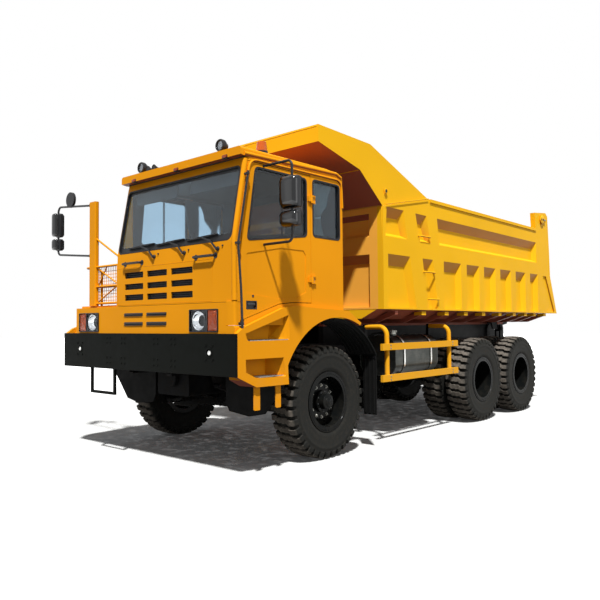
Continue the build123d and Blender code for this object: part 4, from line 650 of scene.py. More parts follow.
def tyre_mesh():
    """One tyre about the X axis: a carcass with zigzag bars across its tread."""
    half = TREAD_ROWS + [(x, r, 0.0, 0.0, 0.22) for x, r in WALL_ROWS]
    rows = [(-x, r, -dx, dr, -shift) for x, r, dx, dr, shift in half[::-1]] + half
    steps = [(lug + share, top) for lug in range(LUGS) for share, top in LUG_STEPS]
    verts = []
    for x, radius, inwards, downwards, shift in rows:
        for place, top in steps:
            angle = 2 * pi * (place + shift) / LUGS
            r = radius if top else radius - downwards
            verts.append((x if top else x - inwards, r * cos(angle), r * sin(angle)))
    faces = quads(len(rows), len(steps), wrapped=True)
    mesh = new_mesh("tyre", verts, faces, rubber, weld=False)
    mesh.shade_smooth()
    mesh.set_sharp_from_angle(angle=radians(34))
    return mesh


def set_tyre(name, centre, body, node, turn):
    """A copy of the tyre, turned about its axle; tyres with the same turn share a mesh."""
    if turn not in turned_tyres:
        turned_tyres[turn] = shared_tyre.copy()
        turned_tyres[turn].transform(Matrix.Rotation(turn, 4, "X"))
    obj = add_object(name, turned_tyres[turn])
    obj.location = centre
    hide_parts(node)
    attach(obj, body)


shared_tyre = tyre_mesh()
turned_tyres = {}
AXLES = {"middle": MIDDLE_Y, "rear": REAR_Y}
for sign, word in SIDES:
    front = f"front_{word}"
    hub = (sign * WHEEL_X, AXLE_Y, AXLE_Z)
    set_tyre(f"{front}_tyre_rubber", hub, f"{front}_wheel", f"{front}_tyre", 0.03)
    for axle, y in AXLES.items():
        for x, dual in ((OUTER_X, "outer"), (INNER_X, "inner")):
            name = f"{axle}_{word}_{dual}_tyre_rubber"
            hub = (sign * x, y, AXLE_Z)
            set_tyre(name, hub, f"{axle}_{word}_wheels", f"{axle}_{word}_tyres", y)


# ---- wheel details ----
def bolt_ring(x, y, sign, radius, count, size, start=0.0):
    shape = Shape()
    for a in turns(count, start):
        centre = (x, y + radius * cos(a), AXLE_Z + radius * sin(a))
        shape.bolt(centre, (sign, 0, 0), size)
    return shape


def lock_ring(name, x, y, sign, body):
    """The rim's split locking ring, a bead standing just outside the flange."""
    section = mm("0,351 12,350.5 18,345 18,335 10,329 0,329 0,351")
    Shape().loops([
        [(x + sign * along, y + radius * cos(a), AXLE_Z + radius * sin(a)) for a in turns(64)]
        for along, radius in section
    ], caps=False).piece(name, black_gloss, body=body)


def valve_stem(shape, x, y, sign, angle):
    along = Vector((0, cos(angle), sin(angle)))
    foot = Vector((x, y, AXLE_Z)) + along * 0.30
    tip = foot + Vector((sign * 0.05, 0, 0)) - along * 0.02
    shape.tube([foot, foot + Vector((sign * 0.03, 0, 0)), tip], 0.004, 8)
    shape.lathe(mm("0,6 14,6 17,4"), tip, (sign, 0, 0), 10)


FLANGE = 0.150  # from the wheel's middle to its rim's flange
# where the faces that carry nuts lie, from the truck's middle
FRONT_NUTS, FRONT_HUB = WHEEL_X + 0.044, WHEEL_X + 0.090
REAR_NUTS, REAR_HUB = 1.276, 1.370
CAP_PROFILE = mm("0,94 4,94 10,89 14,60 20,56 26,40")


def wheel_details(prefix, body, y, sign, nuts, stem, hub, rim_x):
    """Nuts and valve, the hub's bolts and the locking ring of one wheel."""
    nut_x, *nut_ring = nuts
    hub_x, *hub_ring = hub
    bolts = bolt_ring(sign * nut_x, y, sign, *nut_ring)
    valve_stem(bolts, sign * stem[0], y, sign, stem[1])
    bolts.piece(f"{prefix}_wheel_nuts", bolt_zinc, body=body, slot="rod_chrome")
    hub_bolts = bolt_ring(sign * hub_x, y, sign, *hub_ring)
    hub_bolts.piece(f"{prefix}_hub_bolts", cast_metal, body=body, slot="rim_paint")
    lock_ring(f"{prefix}_lock_ring", sign * (rim_x + FLANGE), y, sign, body)


for sign, word in SIDES:
    prefix, body = f"front_{word}", f"front_{word}_wheel"
    nuts, hub = (FRONT_NUTS, 0.192, 12, 0.0155), (FRONT_HUB, 0.116, 10, 0.008, 0.2)
    wheel_details(prefix, body, AXLE_Y, sign, nuts, (FRONT_NUTS - 0.02, 1.3), hub, WHEEL_X)
    centre = (sign * (WHEEL_X + 0.1499), AXLE_Y, AXLE_Z)
    cap = Shape().lathe(CAP_PROFILE, centre, (sign, 0, 0), 40)
    cap.piece(f"{prefix}_hub_cap", black_gloss, body=body)
    for axle, y in AXLES.items():
        prefix, body = f"{axle}_{word}", f"{axle}_{word}_wheels"
        nuts, hub = (REAR_NUTS, 0.200, 12, 0.015, 0.1), (REAR_HUB, 0.108, 12, 0.0085)
        wheel_details(prefix, body, y, sign, nuts, (1.270, 2.0), hub, OUTER_X)


# ---- places on the cab, from millimetres: x, distance behind the front axle, height ----
def at(x, behind, z):
    return Vector((x / 1000, AXLE_Y + behind / 1000, z / 1000))


WALL_Y = at(0, -1606, 0).y  # the upright part of the cab's front
SLOPE_FOOT, SLOPE_HEAD = at(0, -1606, 2510), at(0, -1450, 3340)
SLOPE_UP = (SLOPE_HEAD - SLOPE_FOOT).normalized()
SLOPE_OUT = Vector((0, -SLOPE_UP.z, SLOPE_UP.y))


def on_slope(a, b, out=0.0):
    """A point on the windscreen wall: a across, b up the slope, out ahead of its face."""
    return SLOPE_FOOT + Vector((a, 0, 0)) + SLOPE_UP * b + SLOPE_OUT * out


def sunk(depth):
    """Places outlines on the windscreen wall, starting this deep behind its face."""
    return lambda a, b, d: on_slope(a, b, -depth + d)


def slope_height(z):
    """How far up the slope a height in metres lies."""
    return (z - SLOPE_FOOT.z) / SLOPE_UP.z


# ---- windscreen: dark border, gasket and wipers ----
SCREEN = (-0.500, 1.571, 2.520, 3.310)


def screen_loop(radius, inset, foot=None, top=None):
    """The windscreen's outline, drawn in all round or by other insets at foot and top."""
    left, right = SCREEN[0] + inset, SCREEN[1] - inset
    low = slope_height(SCREEN[2]) + (foot or inset)
    high = slope_height(SCREEN[3]) - (top or inset)
    loop = rounded_loop(right - left, high - low, radius)
    return shifted(loop, (left + right) / 2, (low + high) / 2)


border, gasket, wipers, blades = (Shape() for _ in range(4))
border.strip(screen_loop(0.060, 0.001), screen_loop(0.045, 0.032, 0.070, 0.036), sunk(0.0218),
             0.0012)
border.piece("windscreen_border", black_plastic, smooth=False)
gasket.strip(screen_loop(0.070, -0.011), screen_loop(0.052, 0.008), sunk(0.020), 0.0235)
gasket.piece("windscreen_gasket", seal_rubber, bevel=0.003)


def blade_loops(points, section):
    """A bar along places on the windscreen wall, with a section of (up, out) offsets."""
    return [[on_slope(a, b + up, o + out) for up, out in section] for a, b, o in points]


# the blade's ends, from its pivot and from the slope's foot, and its two sections
BLADE_ENDS = mm("-545,48 -25,84")
HOLDER = mm("5,4 -5,4 -5,-3 5,-3")
LIP = mm("4,2 -4,2 -1,-21.4 1,-21.4")
for pivot_x in (0.256, 0.815, 1.378):
    pivot = Vector((pivot_x, WALL_Y, 2.432))
    hub = mm("0,24 12,24 20,18 36,16 40,10")
    wipers.lathe(hub, pivot, AHEAD, 20)
    joint = pivot + Vector((0, -0.034, 0))
    knee = on_slope(pivot_x - 0.10, 0.010, 0.030)
    hook = on_slope(pivot_x - 0.285, 0.066, 0.030)
    for start, end, w0, w1 in ((joint, knee, 0.011, 0.009), (knee, hook, 0.009, 0.005)):
        along = (end - start).normalized()
        side = along.cross(Vector(AHEAD)).normalized()
        up = side.cross(along)
        corners = ((1, 1), (-1, 1), (-1, -1), (1, -1))
        ends = (start - along * 0.012, w0), (end + along * 0.004, w1)
        wipers.loops([
            [centre + side * (w * a) + up * (0.006 * b) for a, b in corners]
            for centre, w in ends
        ])
    (a0, b0), (a1, b1) = BLADE_ENDS
    path = []
    for t in (k / 8 for k in range(9)):
        a = pivot_x + a0 * (1 - t) + a1 * t
        path.append((a, b0 * (1 - t) + b1 * t, 0.004 + 0.020 * 4 * t * (1 - t)))
    for run in zip(path, path[1:]):
        wipers.loops(blade_loops(run, HOLDER))
    blades.loops(blade_loops([(pivot_x + a, b, 0) for a, b in BLADE_ENDS], LIP))
    nozzle = pivot + Vector((0.075, 0, 0.026))
    wipers.lathe(mm("0,10 12,9 16,5"), nozzle, (0, -1, 0.3), 12)
wipers.piece("wiper_arms", black_plastic, bevel=0.0012)
blades.piece("wiper_blades", seal_rubber, smooth=False)

# ---- grab handles and handrails ----
handles = Shape()
for x0, x1, z in ((-0.342, 0.006, 2.380), (1.015, 1.338, 2.363)):
    reach = WALL_Y - 0.052
    points = [(x0, WALL_Y, z), (x0, reach, z), (x1, reach, z), (x1, WALL_Y, z)]
    handles.tube(points, 0.015, 12, 6, 0.04)
    for x in (x0, x1):
        handles.lathe(mm("0,32 6,32 10,20"), (x, WALL_Y, z), AHEAD, 18)
handles.piece("front_grab_handles", black_plastic)
rail = [at(1700, -1470, 3235), at(1700, -1618, 2469), at(1700, -1580, 1990), at(1700, -1566, 1590)]
Shape().tube(rail, 0.012, 12, 6, 0.05).piece("cab_handrail", black_plastic)
pillar = [on_slope(CAB_LEFT - 0.026, slope_height(z), 0.002) for z in (3.375, 2.510)]
pillar += [at(1629, -1608, 1990), at(1629, -1608, 1880)]
Shape().tube(pillar, 0.030, 16, 6, 0.06).piece("windscreen_pillar_bead", cab_paint)
x = CAB_LEFT * 1000 + 6
gutter = [at(x, -1560, 2560), at(x, -1405, 3378), at(x, 148, 3388), at(x, 168, 3050)]
Shape().tube(gutter, 0.013, 12, 8, 0.11).piece("roof_gutter", cab_paint)
clips = Shape()
for place in (at(1690, -1478, 3205), at(1690, -1612, 2469), at(1690, -1568, 1640)):
    clips.lathe(mm("-34,14 4,14"), place, LEFTWARDS, 14)
    collar = place + Vector((0.010, 0, 0))
    clips.lathe(mm("-12,20 12,20"), collar, UPWARDS, 16)
clips.piece("cab_handrail_clips", black_plastic)

# ---- clearance lamps on the visor ----
VISOR_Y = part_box("cab_roof")[0].y


def facing(x, z, y):
    """Turns outline points and a depth into points that face the front."""
    return lambda a, b, d: Vector((x + a, y - d, z + b))


bases, lenses = Shape(), Shape()
for x in (-0.278, 0.564, 1.403):
    z = CAB_TOP + 0.02
    bases.plate(rounded_loop(0.086, 0.044, 0.014), facing(x, z, VISOR_Y + 0.03), 0.032)
    lenses.domed(rounded_loop(0.070, 0.030, 0.012), facing(x, z, VISOR_Y - 0.002), 0.006, 0.008)
bases.piece("visor_lamp_bases", seal_rubber)
lenses.piece("visor_lamp_lenses", amber)

# ---- headlamps and turn lamps ----
PANEL_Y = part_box("front_panel")[0].y
LAMP_X, LAMP_Z, LAMP_WIDTH, LAMP_HEIGHT = 1.157, 1.6745, 0.4694, 0.2444
BOWL_X, BOWL_Y, TURN_X, DIVIDER_X = 1.073, PANEL_Y + 0.022, 1.303, 1.220
BOWL = mm("0,104 -6,104 -4,100 12,94 30,80 44,60 53,36 56,20 60,20 58,40 48,66 30,88 0,104")
BULB = mm("50,12 30,13 18,13 12,10 10,4")
housings, bowls, bulbs, turn_lenses, covers, trims = (Shape() for _ in range(6))
for side, _ in SIDES:
    outer = rounded_loop(LAMP_WIDTH, LAMP_HEIGHT, 0.014)
    inner = rounded_loop(LAMP_WIDTH - 0.014, LAMP_HEIGHT - 0.014, 0.010)
    place = facing(side * LAMP_X, LAMP_Z, PANEL_Y + 0.120)
    depths = ((outer, 0), (outer, 0.1195), (inner, 0.1195), (inner, 0.055))
    housings.loops([[place(a, b, d) for a, b in loop] for loop, d in depths])
    low = (side * DIVIDER_X - 0.005, PANEL_Y + 0.008, LAMP_Z - 0.115)
    housings.box(low, (side * DIVIDER_X + 0.005, PANEL_Y + 0.07, LAMP_Z + 0.115))
    hole = [(0.103 * cos(a), 0.103 * sin(a)) for a in (2 * pi * (i + 0.5) / 28 for i in range(28))]
    place = facing(side * BOWL_X + side * 0.002, LAMP_Z, PANEL_Y + 0.028)
    trims.strip(rounded_loop(0.276, 0.228, 0.010), hole, place, 0.004)
    centre = (side * BOWL_X, BOWL_Y, LAMP_Z)
    bowls.lathe(BOWL, centre, REARWARDS, 48, caps=False)
    bulbs.lathe(BULB, centre, REARWARDS, 20)
    place = facing(side * TURN_X, LAMP_Z, PANEL_Y + 0.045)
    turn_lenses.domed(rounded_loop(0.152, 0.222, 0.010), place, 0.026, 0.010, 0.90)
    place = facing(side * LAMP_X, LAMP_Z, PANEL_Y + 0.0045)
    covers.domed(inner, place, 0.003, 0.005, 0.93)
housings.piece("headlamp_housings", black_plastic, stands_for=("headlamps",))
trims.piece("headlamp_surrounds", dash_plastic, slot="black_plastic")
bowls.piece("headlamp_reflectors", chrome)
bulbs.piece("headlamp_bulbs", lamp_glazing)
turn_lenses.piece("turn_lamp_lenses", amber)
covers.piece("headlamp_covers", lamp_glazing)

# ---- dark louvres behind the ventilation slots: rows, columns, face and depth ----
louvres = Shape()
for rows, columns, face, depth in (
    (mm("1932,2004 2064,2135 2202,2273"), 3, at(0, -1612, 0).y, 0.028),
    (mm("1628,1670 1741,1779"), 2, PANEL_Y + 0.004, 0.014),
):
    for low, high in rows:
        for x0 in (-0.348 + 0.462 * column for column in range(columns)):
            corner = (x0 + 0.389, face + depth + 0.002, high + 0.004)
            louvres.box((x0 - 0.004, face + depth, low - 0.004), corner)
            slats = max(2, round((high - low) / 0.022))
            for k in range(slats):
                z = low + (high - low) * (k + 0.5) / slats
                slat = [(face + 0.002, z - 0.008), (face + 0.004, z - 0.0095)]
                slat += [(face + depth, z + 0.005), (face + depth, z + 0.008)]
                louvres.extrude(slat, "X", (x0 + 0.002, x0 + 0.383))
louvres.piece("vent_louvres", black_plastic, smooth=False)


# ---- side windows: borders, gaskets and dividers ----
def side_place(x, sign):
    """Turns (distance behind the front axle, height) and a depth into points at the side."""
    return lambda a, b, d: Vector((x + sign * d, AXLE_Y + a, b))


def inset_polygon(points, inset):
    """A convex outline drawn in by the same distance along every side."""
    flat = [Vector((p[0], p[1])) for p in points]
    centre = sum(flat, Vector((0, 0))) / len(flat)
    lines = []
    for start, end in zip(flat, flat[1:] + flat[:1]):
        along = (end - start).normalized()
        normal = Vector((-along.y, along.x))
        if normal.dot(centre - start) < 0:
            normal = -normal
        lines.append((start + normal * inset, along))
    made = []
    for (p, u), (q, v) in zip(lines[-1:] + lines[:-1], lines):
        t = ((q.x - p.x) * v.y - (q.y - p.y) * v.x) / (u.x * v.y - u.y * v.x)
        made.append(tuple(p + u * t))
    return made


def side_window(name, points, face, sink, sign, body="truck", border=0.030):
    """A gasket round a window's edge and a dark border on its glass, sunk behind the face."""
    radius, glass = 0.050, face - sign * sink
    gasket, edge = Shape(), Shape()
    outer = rounded_polygon(inset_polygon(points, -0.010), radius + 0.012)
    inner = rounded_polygon(inset_polygon(points, 0.010), radius)
    gasket.strip(outer, inner, side_place(glass, sign), sign * (face - glass) + 0.004)
    gasket.piece(f"{name}_gasket", seal_rubber, body=body, bevel=0.003)
    outer = rounded_polygon(inset_polygon(points, 0.006), radius)
    inner = rounded_polygon(inset_polygon(points, border), radius * 0.8)
    edge.strip(outer, inner, side_place(glass + sign * 0.0045, sign), 0.0015)
    edge.piece(f"{name}_border", black_plastic, body=body, smooth=False)


DOOR_SINK, QUARTER_SINK, DOOR_BORDER = 0.0275, 0.034, 0.040
LEFT_WINDOW = mm("-1446,2517 -1320,3307 -500,3307 -500,2640")
RIGHT_WINDOW = mm("-1290,2640 -1230,3307 -500,3307 -500,2640")
QUARTER = mm("-385,2650 -385,3320 115,3320 115,2650")
side_window("left_door_window", LEFT_WINDOW, CAB_LEFT, DOOR_SINK, 1, "left_door", DOOR_BORDER)
side_window("right_door_window", RIGHT_WINDOW, CAB_RIGHT, DOOR_SINK, -1, "right_door",
            DOOR_BORDER)
side_window("left_quarter_window", QUARTER, CAB_LEFT, QUARTER_SINK, 1)
side_window("right_quarter_window", QUARTER, CAB_RIGHT, QUARTER_SINK, -1)
for (sign, word), face in zip(SIDES, (CAB_LEFT, CAB_RIGHT)):
    inner, outer = sorted((face - sign * 0.0265, face - sign * 0.018))
    bar = Shape().box((inner, back(-0.905), 2.60), (outer, back(-0.880), 3.28))
    bar.piece(f"{word}_door_window_bar", black_plastic, body=f"{word}_door", smooth=False,
              bevel=0.002)

# ---- door furniture ----
# the handle cup's outlines: width, height and corner radius
CUP = (0.156, 0.089, 0.012), (0.136, 0.069, 0.010), (0.152, 0.085, 0.012)
for sign, word, face, place in (
    (1, "left", CAB_LEFT, (-1.390, 1.8325)), (-1, "right", CAB_RIGHT, (-1.291, 2.095)),
):
    cup, lever, lock, hinge_bolts = (Shape() for _ in range(4))
    body = f"{word}_door"
    outer, inner, floor = (shifted(rounded_loop(*size), *place) for size in CUP)
    cup.strip(outer, inner, side_place(face - sign * 0.012, sign), 0.014)
    cup.plate(floor, side_place(face - sign * 0.0245, sign), 0.003)
    cup.piece(f"{word}_door_handle_cup", black_plastic, body=body, bevel=0.0015)
    surface = side_place(face - sign * 0.014, sign)
    grip = shifted(rounded_loop(0.112, 0.026, 0.008), 0, 0.012)
    lever.domed(grip, lambda a, b, d: surface(a + place[0], b + place[1], d), 0.008, 0.006, 0.9)
    lever.piece(f"{word}_door_handle_lever", dash_plastic, body=body, slot="black_plastic")
    centre = side_place(face - sign * 0.002, sign)(place[0] + 0.020, place[1] + 0.095, 0)
    barrel = mm("0,14 5,14 7,11 4,6")
    lock.lathe(barrel, centre, (sign, 0, 0), 20)
    lock.piece(f"{word}_door_lock", black_plastic, body=body)
    for level in (2.140, 3.080):
        for k in range(3):
            centre = (face + sign * 0.006, back(-0.385), level - 0.032 + 0.032 * k)
            hinge_bolts.bolt(centre, (sign, 0, 0), 0.0075)
    hinge_bolts.piece(f"{word}_door_hinge_bolts", bolt_zinc, slot="cab_paint")

# ---- lower corner of the cab front ----
front, rear = PANEL_Y + 0.006, PANEL_Y + 0.085
x0, x1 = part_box("left_step_box")[1].x - 0.189, CAB_LEFT - 0.003
outline = [
    (x0, front), (x1 - 0.02, front), (x1 - 0.006, front + 0.006), (x1, front + 0.02), (x1, rear),
    (x1 - 0.012, rear), (x1 - 0.012, front + 0.012), (x0, front + 0.012),
]
corner = Shape().extrude(outline, "Z", (BUMPER_HIGH.z + 0.086, 1.872))
corner.piece("left_front_corner", cab_paint, bevel=0.002)

# ---- boot recesses: liners, treads and the step lamp ----
RECESS_FOOT = mm("-1533,1534 -1503,1462 -1474,1454")
UPPER_MOUTH = RECESS_FOOT + mm("-864,1454 -872,1732")
UPPER_FLOOR = RECESS_FOOT + mm("-1032,1454 -974,1701")
HALF = BUMPER_HIGH.x
# treads: front, rear, underside, top, and how far they start from the side and reach in
UPPER_TREAD = (-1.465, -0.880, 1.4555, 1.4640, 0.004, 0.170, 0.155)
LOWER_TREAD = (-1.340, -0.960, 1.0700, 1.0790, 0.006, 0.150, 0.14)
RIBS = 9
for sign, word in SIDES:
    liner, treads, lamp_base, lamp_glass = (Shape() for _ in range(4))
    rows = []
    for points, x, grow in (
        (UPPER_FLOOR, HALF - 0.183, -0.003), (UPPER_MOUTH, HALF - 0.001, -0.003),
        (UPPER_MOUTH, HALF - 0.001, 0.0015), (UPPER_FLOOR, HALF - 0.1785, 0.0015),
    ):
        loop = rounded_polygon(inset_polygon(points, grow), 0.012, 4)
        rows.append([(sign * x, back(a), b) for a, b in loop])
    liner.loops(rows)
    liner.piece(f"{word}_upper_step_liner", cab_paint, smooth=False)
    steps = (UPPER_TREAD, LOWER_TREAD) if sign > 0 else (UPPER_TREAD,)
    for y0, y1, z0, z1, edge, reach, chamfer in steps:
        inner, outer = HALF - reach, HALF - edge
        corners = [(inner, y0), (outer, y0), (outer, y1), (inner, y1 - chamfer)]
        treads.extrude([(sign * a, back(b)) for a, b in corners], "Z", (z0, z1))
        x = sign * (HALF - 0.10)
        for k in range(RIBS):
            y = AXLE_Y + y0 + (y1 - 0.16 - y0) * (k + 0.5) / RIBS
            treads.box((x - 0.045, y - 0.006, z1), (x + 0.045, y + 0.006, z1 + 0.004))
    treads.piece(f"{word}_step_treads", step_plate, smooth=False, bevel=0.0012)
    centre = Vector((sign * (HALF - 0.178), back(-1.403), 1.557))
    rim = mm("0,36 12,36 16,32 16,28")
    lamp_base.lathe(rim, centre, (sign, 0, 0), 28)
    lamp_base.piece(f"{word}_step_lamp", seal_rubber)
    dome = mm("10,29 18,28 24,20 26,8")
    lamp_glass.lathe(dome, centre, (sign, 0, 0), 28)
    lamp_glass.piece(f"{word}_step_lamp_lens", red_lens)

# ---- bumper bolts and towing rings ----
BUMPER_FACE, SOCKET_Z = BUMPER_LOW.y + 0.008, 1.333
SOCKET = mm("0,54 4,54 6,50 6,38.5 0,38.5 0,54")
RIVET = mm("0,11 4,11 6.5,8 7,3")
SOCKET_PIN = mm("-90,28 18,28 26,24 30,12")
bumper_bolts, socket_pins = Shape(), Shape()
for x in (-1.30, 1.30):
    bumper_bolts.lathe(SOCKET, (x, BUMPER_FACE, SOCKET_Z), AHEAD, 40, caps=False)
    socket_pins.lathe(SOCKET_PIN, (x, BUMPER_FACE + 0.025, SOCKET_Z), AHEAD, 28)
for x in (-0.62, -0.30, 0.36, 0.68):
    for dx in (-0.035, 0.035):
        for z in (1.17, 1.235, 1.415, 1.475):
            bumper_bolts.lathe(RIVET, (x + dx, BUMPER_FACE, z), AHEAD, 12)
bumper_bolts.piece("bumper_bolts", charcoal)
socket_pins.piece("towing_pin_ends", bright_steel)

# ---- mirrors: glass, rims and shells ----
# the rows of each mirror's shell: depth and growth
LEFT_SKIN = mm("0,0 16,-4 32,-18 44,-44 51,-80 54,-120")
RIGHT_SKIN = mm("0,0 12,-4 24,-16 32,-40 36,-70")
POST_Y = at(0, -1545, 0).y
LEFT_X, RIGHT_X, LEFT_GLASS_Y = 2.060, -2.120, at(0, -1166, 0).y


def mirror_set(word, x, y, glasses, rim, shells, shell_y, skin, corner, body):
    """The glasses, rims and shells of one mirror; glasses and shells are (height of the
    middle, width, height), and rim is how much it grows past the glass, and both radii."""
    glass, rims, backs = Shape(), Shape(), Shape()
    grow, rim_radius, glass_radius = rim
    for z, w, h in glasses:
        place = facing(x, z, y)
        behind = lambda a, b, d, place=place: place(a, b, -d)
        outer = rounded_loop(w + grow, h + grow, rim_radius)
        inner = rounded_loop(w, h, glass_radius)
        glass.domed(inner, behind, 0.0008, 0.0035, 0.97)
        rims.strip(outer, inner, behind, 0.006)
    glass.piece(f"{word}_mirror_glass", mirror_face, body=body)
    rims.piece(f"{word}_mirror_rims", seal_rubber, body=body, bevel=0.0015)
    for z, w, h in shells:
        rows = []
        for depth, more in skin:
            radius = min(corner, (h + more) / 2 - 0.001, (w + more) / 2 - 0.001)
            loop = rounded_loop(w + more, h + more, radius)
            rows.append([(x + a, shell_y - depth, z + b) for a, b in loop])
        backs.loops(rows)
    backs.piece(f"{word}_mirror_shells", mirror_gloss, body=body)


mirror_set(
    "left", LEFT_X, LEFT_GLASS_Y, ((2.995, 0.215, 0.305), (2.720, 0.215, 0.135)),
    (0.018, 0.028, 0.022), ((2.995, 0.236, 0.326), (2.720, 0.236, 0.156)),
    at(0, -1240, 0).y + 0.002, LEFT_SKIN, 0.045, "left_door",
)
mirror_set(
    "right", RIGHT_X, POST_Y + 0.0525, ((3.060, 0.100, 0.290), (2.7825, 0.100, 0.120)),
    (0.014, 0.024, 0.018), ((3.060, 0.116, 0.334), (2.7825, 0.116, 0.160)),
    POST_Y - 0.050, RIGHT_SKIN, 0.030, "truck",
)


# ---- seats: padded cushions on their pedestals ----
def ridge(value, place):
    """1 at a place, falling to 0 on both sides."""
    return max(0, 1 - abs(value - place) / 0.045)


def pad_point(u, v, across, deep, high, side, channels):
    """A point of a cushion's face, from u and v between -1 and 1."""
    edge = ((1 - abs(u) ** 5) ** 0.34) * ((1 - abs(v) ** 5) ** 0.34)
    x = u * across / 2 * (1 - 0.035 * (1 - v * v)) * (1 - 0.10 * v**4 * u * u)
    y = v * deep / 2 * (1 - 0.035 * (1 - u * u)) * (1 - 0.10 * u**4 * v * v)
    if side < 0:
        return Vector((x, y, side * (high / 2 * edge)))
    z = high / 2 * (edge * (0.80 + 0.20 * (1 - u * u) * (1 - v * v)))
    for place in channels:
        z -= 0.011 * edge * ridge(v, place)
    for place in (-0.62, 0.62):
        z -= 0.009 * edge * ridge(u, place)
    return Vector((x, y, z))


def cushion(name, centre, across, deep, high, turn, channels, stands_for=()):
    """A crowned, stitched pad: sides pulled in between its corners, sewn channels."""
    count = 44
    spread = [2 * i / count - 1 for i in range(count + 1)]
    matrix = Matrix.Translation(centre) @ Matrix.Rotation(turn, 4, "X")
    verts = [
        matrix @ pad_point(u, v, across, deep, high, side, channels)
        for side in (1, -1) for u in spread for v in spread
    ]
    faces = quads(count + 1, count + 1, closed=False)
    faces += quads(count + 1, count + 1, closed=False, first=(count + 1) ** 2)
    pad = piece(name, verts, faces, seat_cloth, stands_for=stands_for)


def seam(shape, centre, across, deep, turn):
    """Piping along a pad's edge."""
    matrix = Matrix.Translation(centre) @ Matrix.Rotation(turn, 4, "X")
    path = []
    for a, b in rounded_loop(across * 0.985, deep * 0.985, 0.03, 5):
        u, v = a / (across / 2), b / (deep / 2)
        drawn_in = a * (1 - 0.033 * (1 - v * v)), b * (1 - 0.033 * (1 - u * u)), 0
        path.append(matrix @ Vector(drawn_in))
    loops = []
    for before, point, after in zip(path[-1:] + path[:-1], path, path[1:] + path[:1]):
        ahead = (after - before).normalized()
        side = ahead.cross(matrix.to_3x3() @ Vector(UPWARDS)).normalized()
        loops.append(ring(point, side, ahead.cross(side), 0.004, 6))
    shape.loops(loops + loops[:1], caps=False)


SEAT_Z = FLOOR_Z + 0.325
LEAN = radians(82)
BELLOWS, BELLOWS_HEIGHT = 9, 0.0195
pedestals, piping = Shape(), Shape()
for x, word in ((CAB_LEFT - 0.535, "driver"), (CAB_RIGHT + 0.530, "passenger")):
    stands = ("seats",) if word == "driver" else ()
    # name, place behind the axle, height, width, depth, thickness, lean and sewn channels
    for part, y, z, across, deep, high, turn, channels in (
        ("seat_cushion", -0.450, SEAT_Z, 0.50, 0.50, 0.15, 0.0, (-0.35, 0.0, 0.35)),
        ("seat_back", -0.190, SEAT_Z + 0.36, 0.48, 0.56, 0.115, LEAN, (-0.5, -0.15, 0.2, 0.55)),
        ("head_rest", -0.135, SEAT_TOP - 0.085, 0.29, 0.165, 0.085, LEAN, ()),
    ):
        centre = Vector((x, back(y), z))
        cushion(f"{word}_{part}", centre, across, deep, high, turn, channels, stands)
        seam(piping, centre, across, deep, turn)
        stands = ()
    foot = FLOOR_Z + 0.035
    pedestals.box((x - 0.17, AXLE_Y - 0.62, FLOOR_Z + 0.001), (x + 0.17, AXLE_Y - 0.28, foot))
    for z in (foot, FLOOR_Z + 0.235):
        pedestals.box((x - 0.185, AXLE_Y - 0.635, z), (x + 0.185, AXLE_Y - 0.265, z + 0.022))
    for k in range(BELLOWS):
        grow = 0.016 if k % 2 else 0.0
        z = FLOOR_Z + 0.057 + BELLOWS_HEIGHT * k
        low = (x - 0.15 - grow, AXLE_Y - 0.60 - grow, z)
        pedestals.box(low, (x + 0.15 + grow, AXLE_Y - 0.30 + grow, z + BELLOWS_HEIGHT))
    for dx in (-0.06, 0.06):
        post = (x + dx, AXLE_Y - 0.148, SEAT_TOP - 0.24), (x + dx, AXLE_Y - 0.138, SEAT_TOP - 0.12)
        pedestals.tube(post, 0.006, 8)
pedestals.piece("seat_pedestals", black_plastic, slot="trim_plastic", bevel=0.002)
piping.piece("seat_piping", seal_rubber, slot="trim_plastic")

# ---- cab interior: hood over the gauges, ceiling and sun visors ----
gauge_x = CAB_LEFT - 0.535
outline = mm("-210,0 -200,75 -160,105 160,105 200,75 210,0")
hood = Shape().loops([
    [(gauge_x + a, AXLE_Y + y, 2.485 + b * share) for a, b in outline]
    for y, share in ((-1.44, 0.55), (-1.34, 0.9), (-1.20, 1.0))
])
hood.piece("gauge_hood", dash_plastic, bevel=0.006)
low = (CAB_RIGHT + 0.06, AXLE_Y - 1.35, CAB_TOP - 0.030)
ceiling = Shape().box(low, (CAB_LEFT - 0.06, CAB_REAR - 0.06, CAB_TOP - 0.002))
ceiling.piece("headlining", seal_rubber, slot="trim_plastic", bevel=0.01)
visors = Shape()
for x0, x1 in mm("-400,420 660,1480"):
    loop = shifted(rounded_loop(x1 - x0, 0.165, 0.03), (x0 + x1) / 2, slope_height(3.225))
    visors.plate(loop, lambda a, b, d: on_slope(a, b, -0.075 - d), 0.018)
visors.piece("sun_visors", dash_plastic, bevel=0.005)


# ---- curtains ----
def pleat_depth(width, flat, pleats):
    """Amplitude of a wavy line with this many pleats that takes up the whole flat width."""
    low, high, count = 0.0, flat, 24
    for _ in range(30):
        guess = (low + high) / 2
        total = 0.0
        for k in range(count):
            slope = 2 * pi * pleats / width * guess * cos(2 * pi * (k + 0.5) / count)
            total += width / count * sqrt(1 + slope * slope)
        low, high = (guess, high) if total < flat else (low, guess)
    return low


def eased(outline, v):
    """Width and shift at a share of the drop, eased between an outline's rows."""
    for (v0, w0, s0), (v1, w1, s1) in zip(outline, outline[1:]):
        if v <= v1 + 1e-9:
            t = (v - v0) / (v1 - v0)
            t = t * t * (3 - 2 * t)
            return w0 + (w1 - w0) * t, s0 + (s1 - s0) * t


HUNG, FOOT, PLEATS = 3.325, 2.640, 8
DROP = HUNG - FOOT


